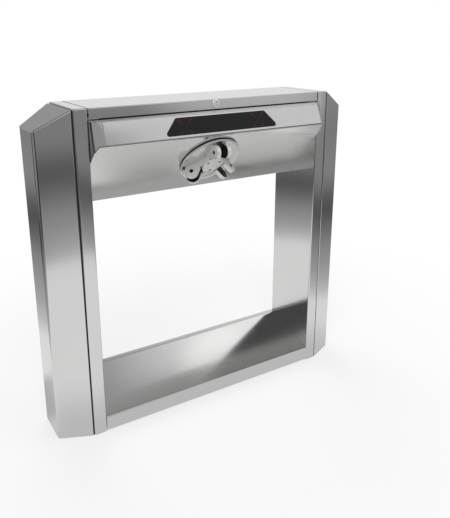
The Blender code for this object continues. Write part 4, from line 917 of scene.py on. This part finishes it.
def mirroredFloor(paint, x, y):
    # The floor's tone for the rays that come off metal, by its distance from the object.
    turn = math.radians(mirrored["turn"])
    east, north = math.cos(turn), math.sin(turn)
    across = (x * east + y * north) / mirrored["reach"][0]
    away = (y * east - x * north - mirrored["shift"]) / mirrored["reach"][1]
    out = distance(across, away) / mirrored["span"]
    stops = [(place / mirrored["span"], tone) for place, tone in mirrored["floor"]]
    tone = paint.node("ShaderNodeValToRGB", {"stops": stops}, {0: out})
    far = mirrored["far"]
    reach = distance(x, y)
    toward = (x * far["direction"][0] + y * far["direction"][1]) / reach
    tone = tone + toward.smooth(*far["cosines"]) * reach.smooth(*far["from"]) * far["strength"]
    front = mirrored["front"]
    reach = distance(x - front["place"][0], y - front["place"][1])
    tone = tone.top(reach.smooth(*front["radii"]) * front["tone"])
    dx, dy = x - mirrored["flagsFrom"][0], y - mirrored["flagsFrom"][1]
    reach = distance(dx, dy)
    for (east, north), cosines in mirrored["flags"]:
        flag = ((dx * east + dy * north) / reach).smooth(*cosines) * reach.smooth(*mirrored["flagReach"])
        tone = tone * (1.0 - flag * mirrored["flagShade"])
    # Painted shadow: the floor that metal mirrors is darker at the object's foot, in front of and behind it.
    shade = mirrored["shade"]
    under = y.smooth(*shade["end"]) * (y.smooth(*shade["front"]) + y.smooth(*shade["behind"]))
    under = under * x.size().smooth(*shade["half"])
    return tone * (1.0 - under * shade["share"])


def makeFloor():
    # White to the camera but for its soft shadow near the object, and mirroredFloor in metal.
    bpy.ops.mesh.primitive_plane_add(size=studio["floorSize"], location=(0, 0, studio["floorLevel"]))
    floor = bpy.context.active_object
    floor.name = "floor"
    paint = Finish("floorPaint")
    paint.set(color=[studio["floorColor"]] * 3, roughness=0.9, specular=0.0)
    lit = Wire(paint, paint.shader.outputs[0])
    spot = paint.place()
    x, y = paint.axis(spot, 0), paint.axis(spot, 1)
    shadow = (1.0 - distance(x, y).smooth(*studio["floorFade"])) * studio["shadowShare"]
    seen = paint.blend(1.0 - shadow, lit, paint.glow(1.0))
    shown = paint.blend(paint.ray("Is Camera Ray"), lit, seen)
    sharpRay = paint.ray("Is Glossy Ray").top(paint.ray("Is Transmission Ray"))
    last = paint.blend(sharpRay, shown, paint.glow(mirroredFloor(paint, x, y)))
    paint.tree.links.new(last.socket, paint.output.inputs["Surface"])
    floor.data.materials.append(paint.material)


def makeWorld():
    # White to the camera, walls and fields to metal, and a plain light on all that is matt.
    world = bpy.data.worlds.new("studio")
    world.use_nodes = True
    bpy.context.scene.world = world
    sky = Nodes(world.node_tree)
    direction = sky.node("ShaderNodeTexCoord", out=0)

    def facing(aim, cosines):
        return sky.vectors("DOT_PRODUCT", direction, aim).smooth(*cosines)

    aim, cosines, share = mirrored["dark"]
    tone = mirrored["walls"] * (1.0 - facing(Vector(aim).normalized(), cosines) * share)
    edges = {name: facing(*edge) for name, edge in mirrored["edges"].items()}
    for aim, cosines, strength, edge in mirrored["fields"]:
        field = facing(Vector(aim).normalized(), cosines) * strength
        tone = tone.top(field * edges[edge] if edge else field)
    cameraRay, diffuseRay = sky.ray("Is Camera Ray"), sky.ray("Is Diffuse Ray")
    shown = cameraRay + (1.0 - cameraRay) * tone
    background = sky.tree.nodes["Background"].inputs
    sky.feed(background["Strength"], shown * (1.0 - diffuseRay) + diffuseRay * studio["skyLight"])
    sky.feed(background["Color"], (1, 1, 1, 1))


def makeCamera():
    data = bpy.data.cameras.new("photoCamera")
    data.sensor_fit = "AUTO"
    data.sensor_width = camera["sensor"]
    data.lens = camera["lens"]
    data.shift_x, data.shift_y = camera["shift"]
    item = bpy.data.objects.new("photoCamera", data)
    a = math.radians(camera["azimuth"])
    e = math.radians(camera["elevation"])
    back = Vector((math.sin(a) * math.cos(e), -math.cos(a) * math.cos(e), math.sin(e)))
    turn = back.to_track_quat("Z", "Y").to_matrix() @ Matrix.Rotation(math.radians(camera["roll"]), 3, "Z")
    item.rotation_euler = turn.to_euler()
    item.location = camera["place"]
    bpy.context.scene.collection.objects.link(item)
    bpy.context.scene.camera = item


makeFloor()
makeWorld()
for lampName, facts in studio["lamps"].items():
    makeLamp(lampName, facts)
makeCamera()
bpy.context.scene.view_settings.view_transform = "Standard"
print("studio ready")
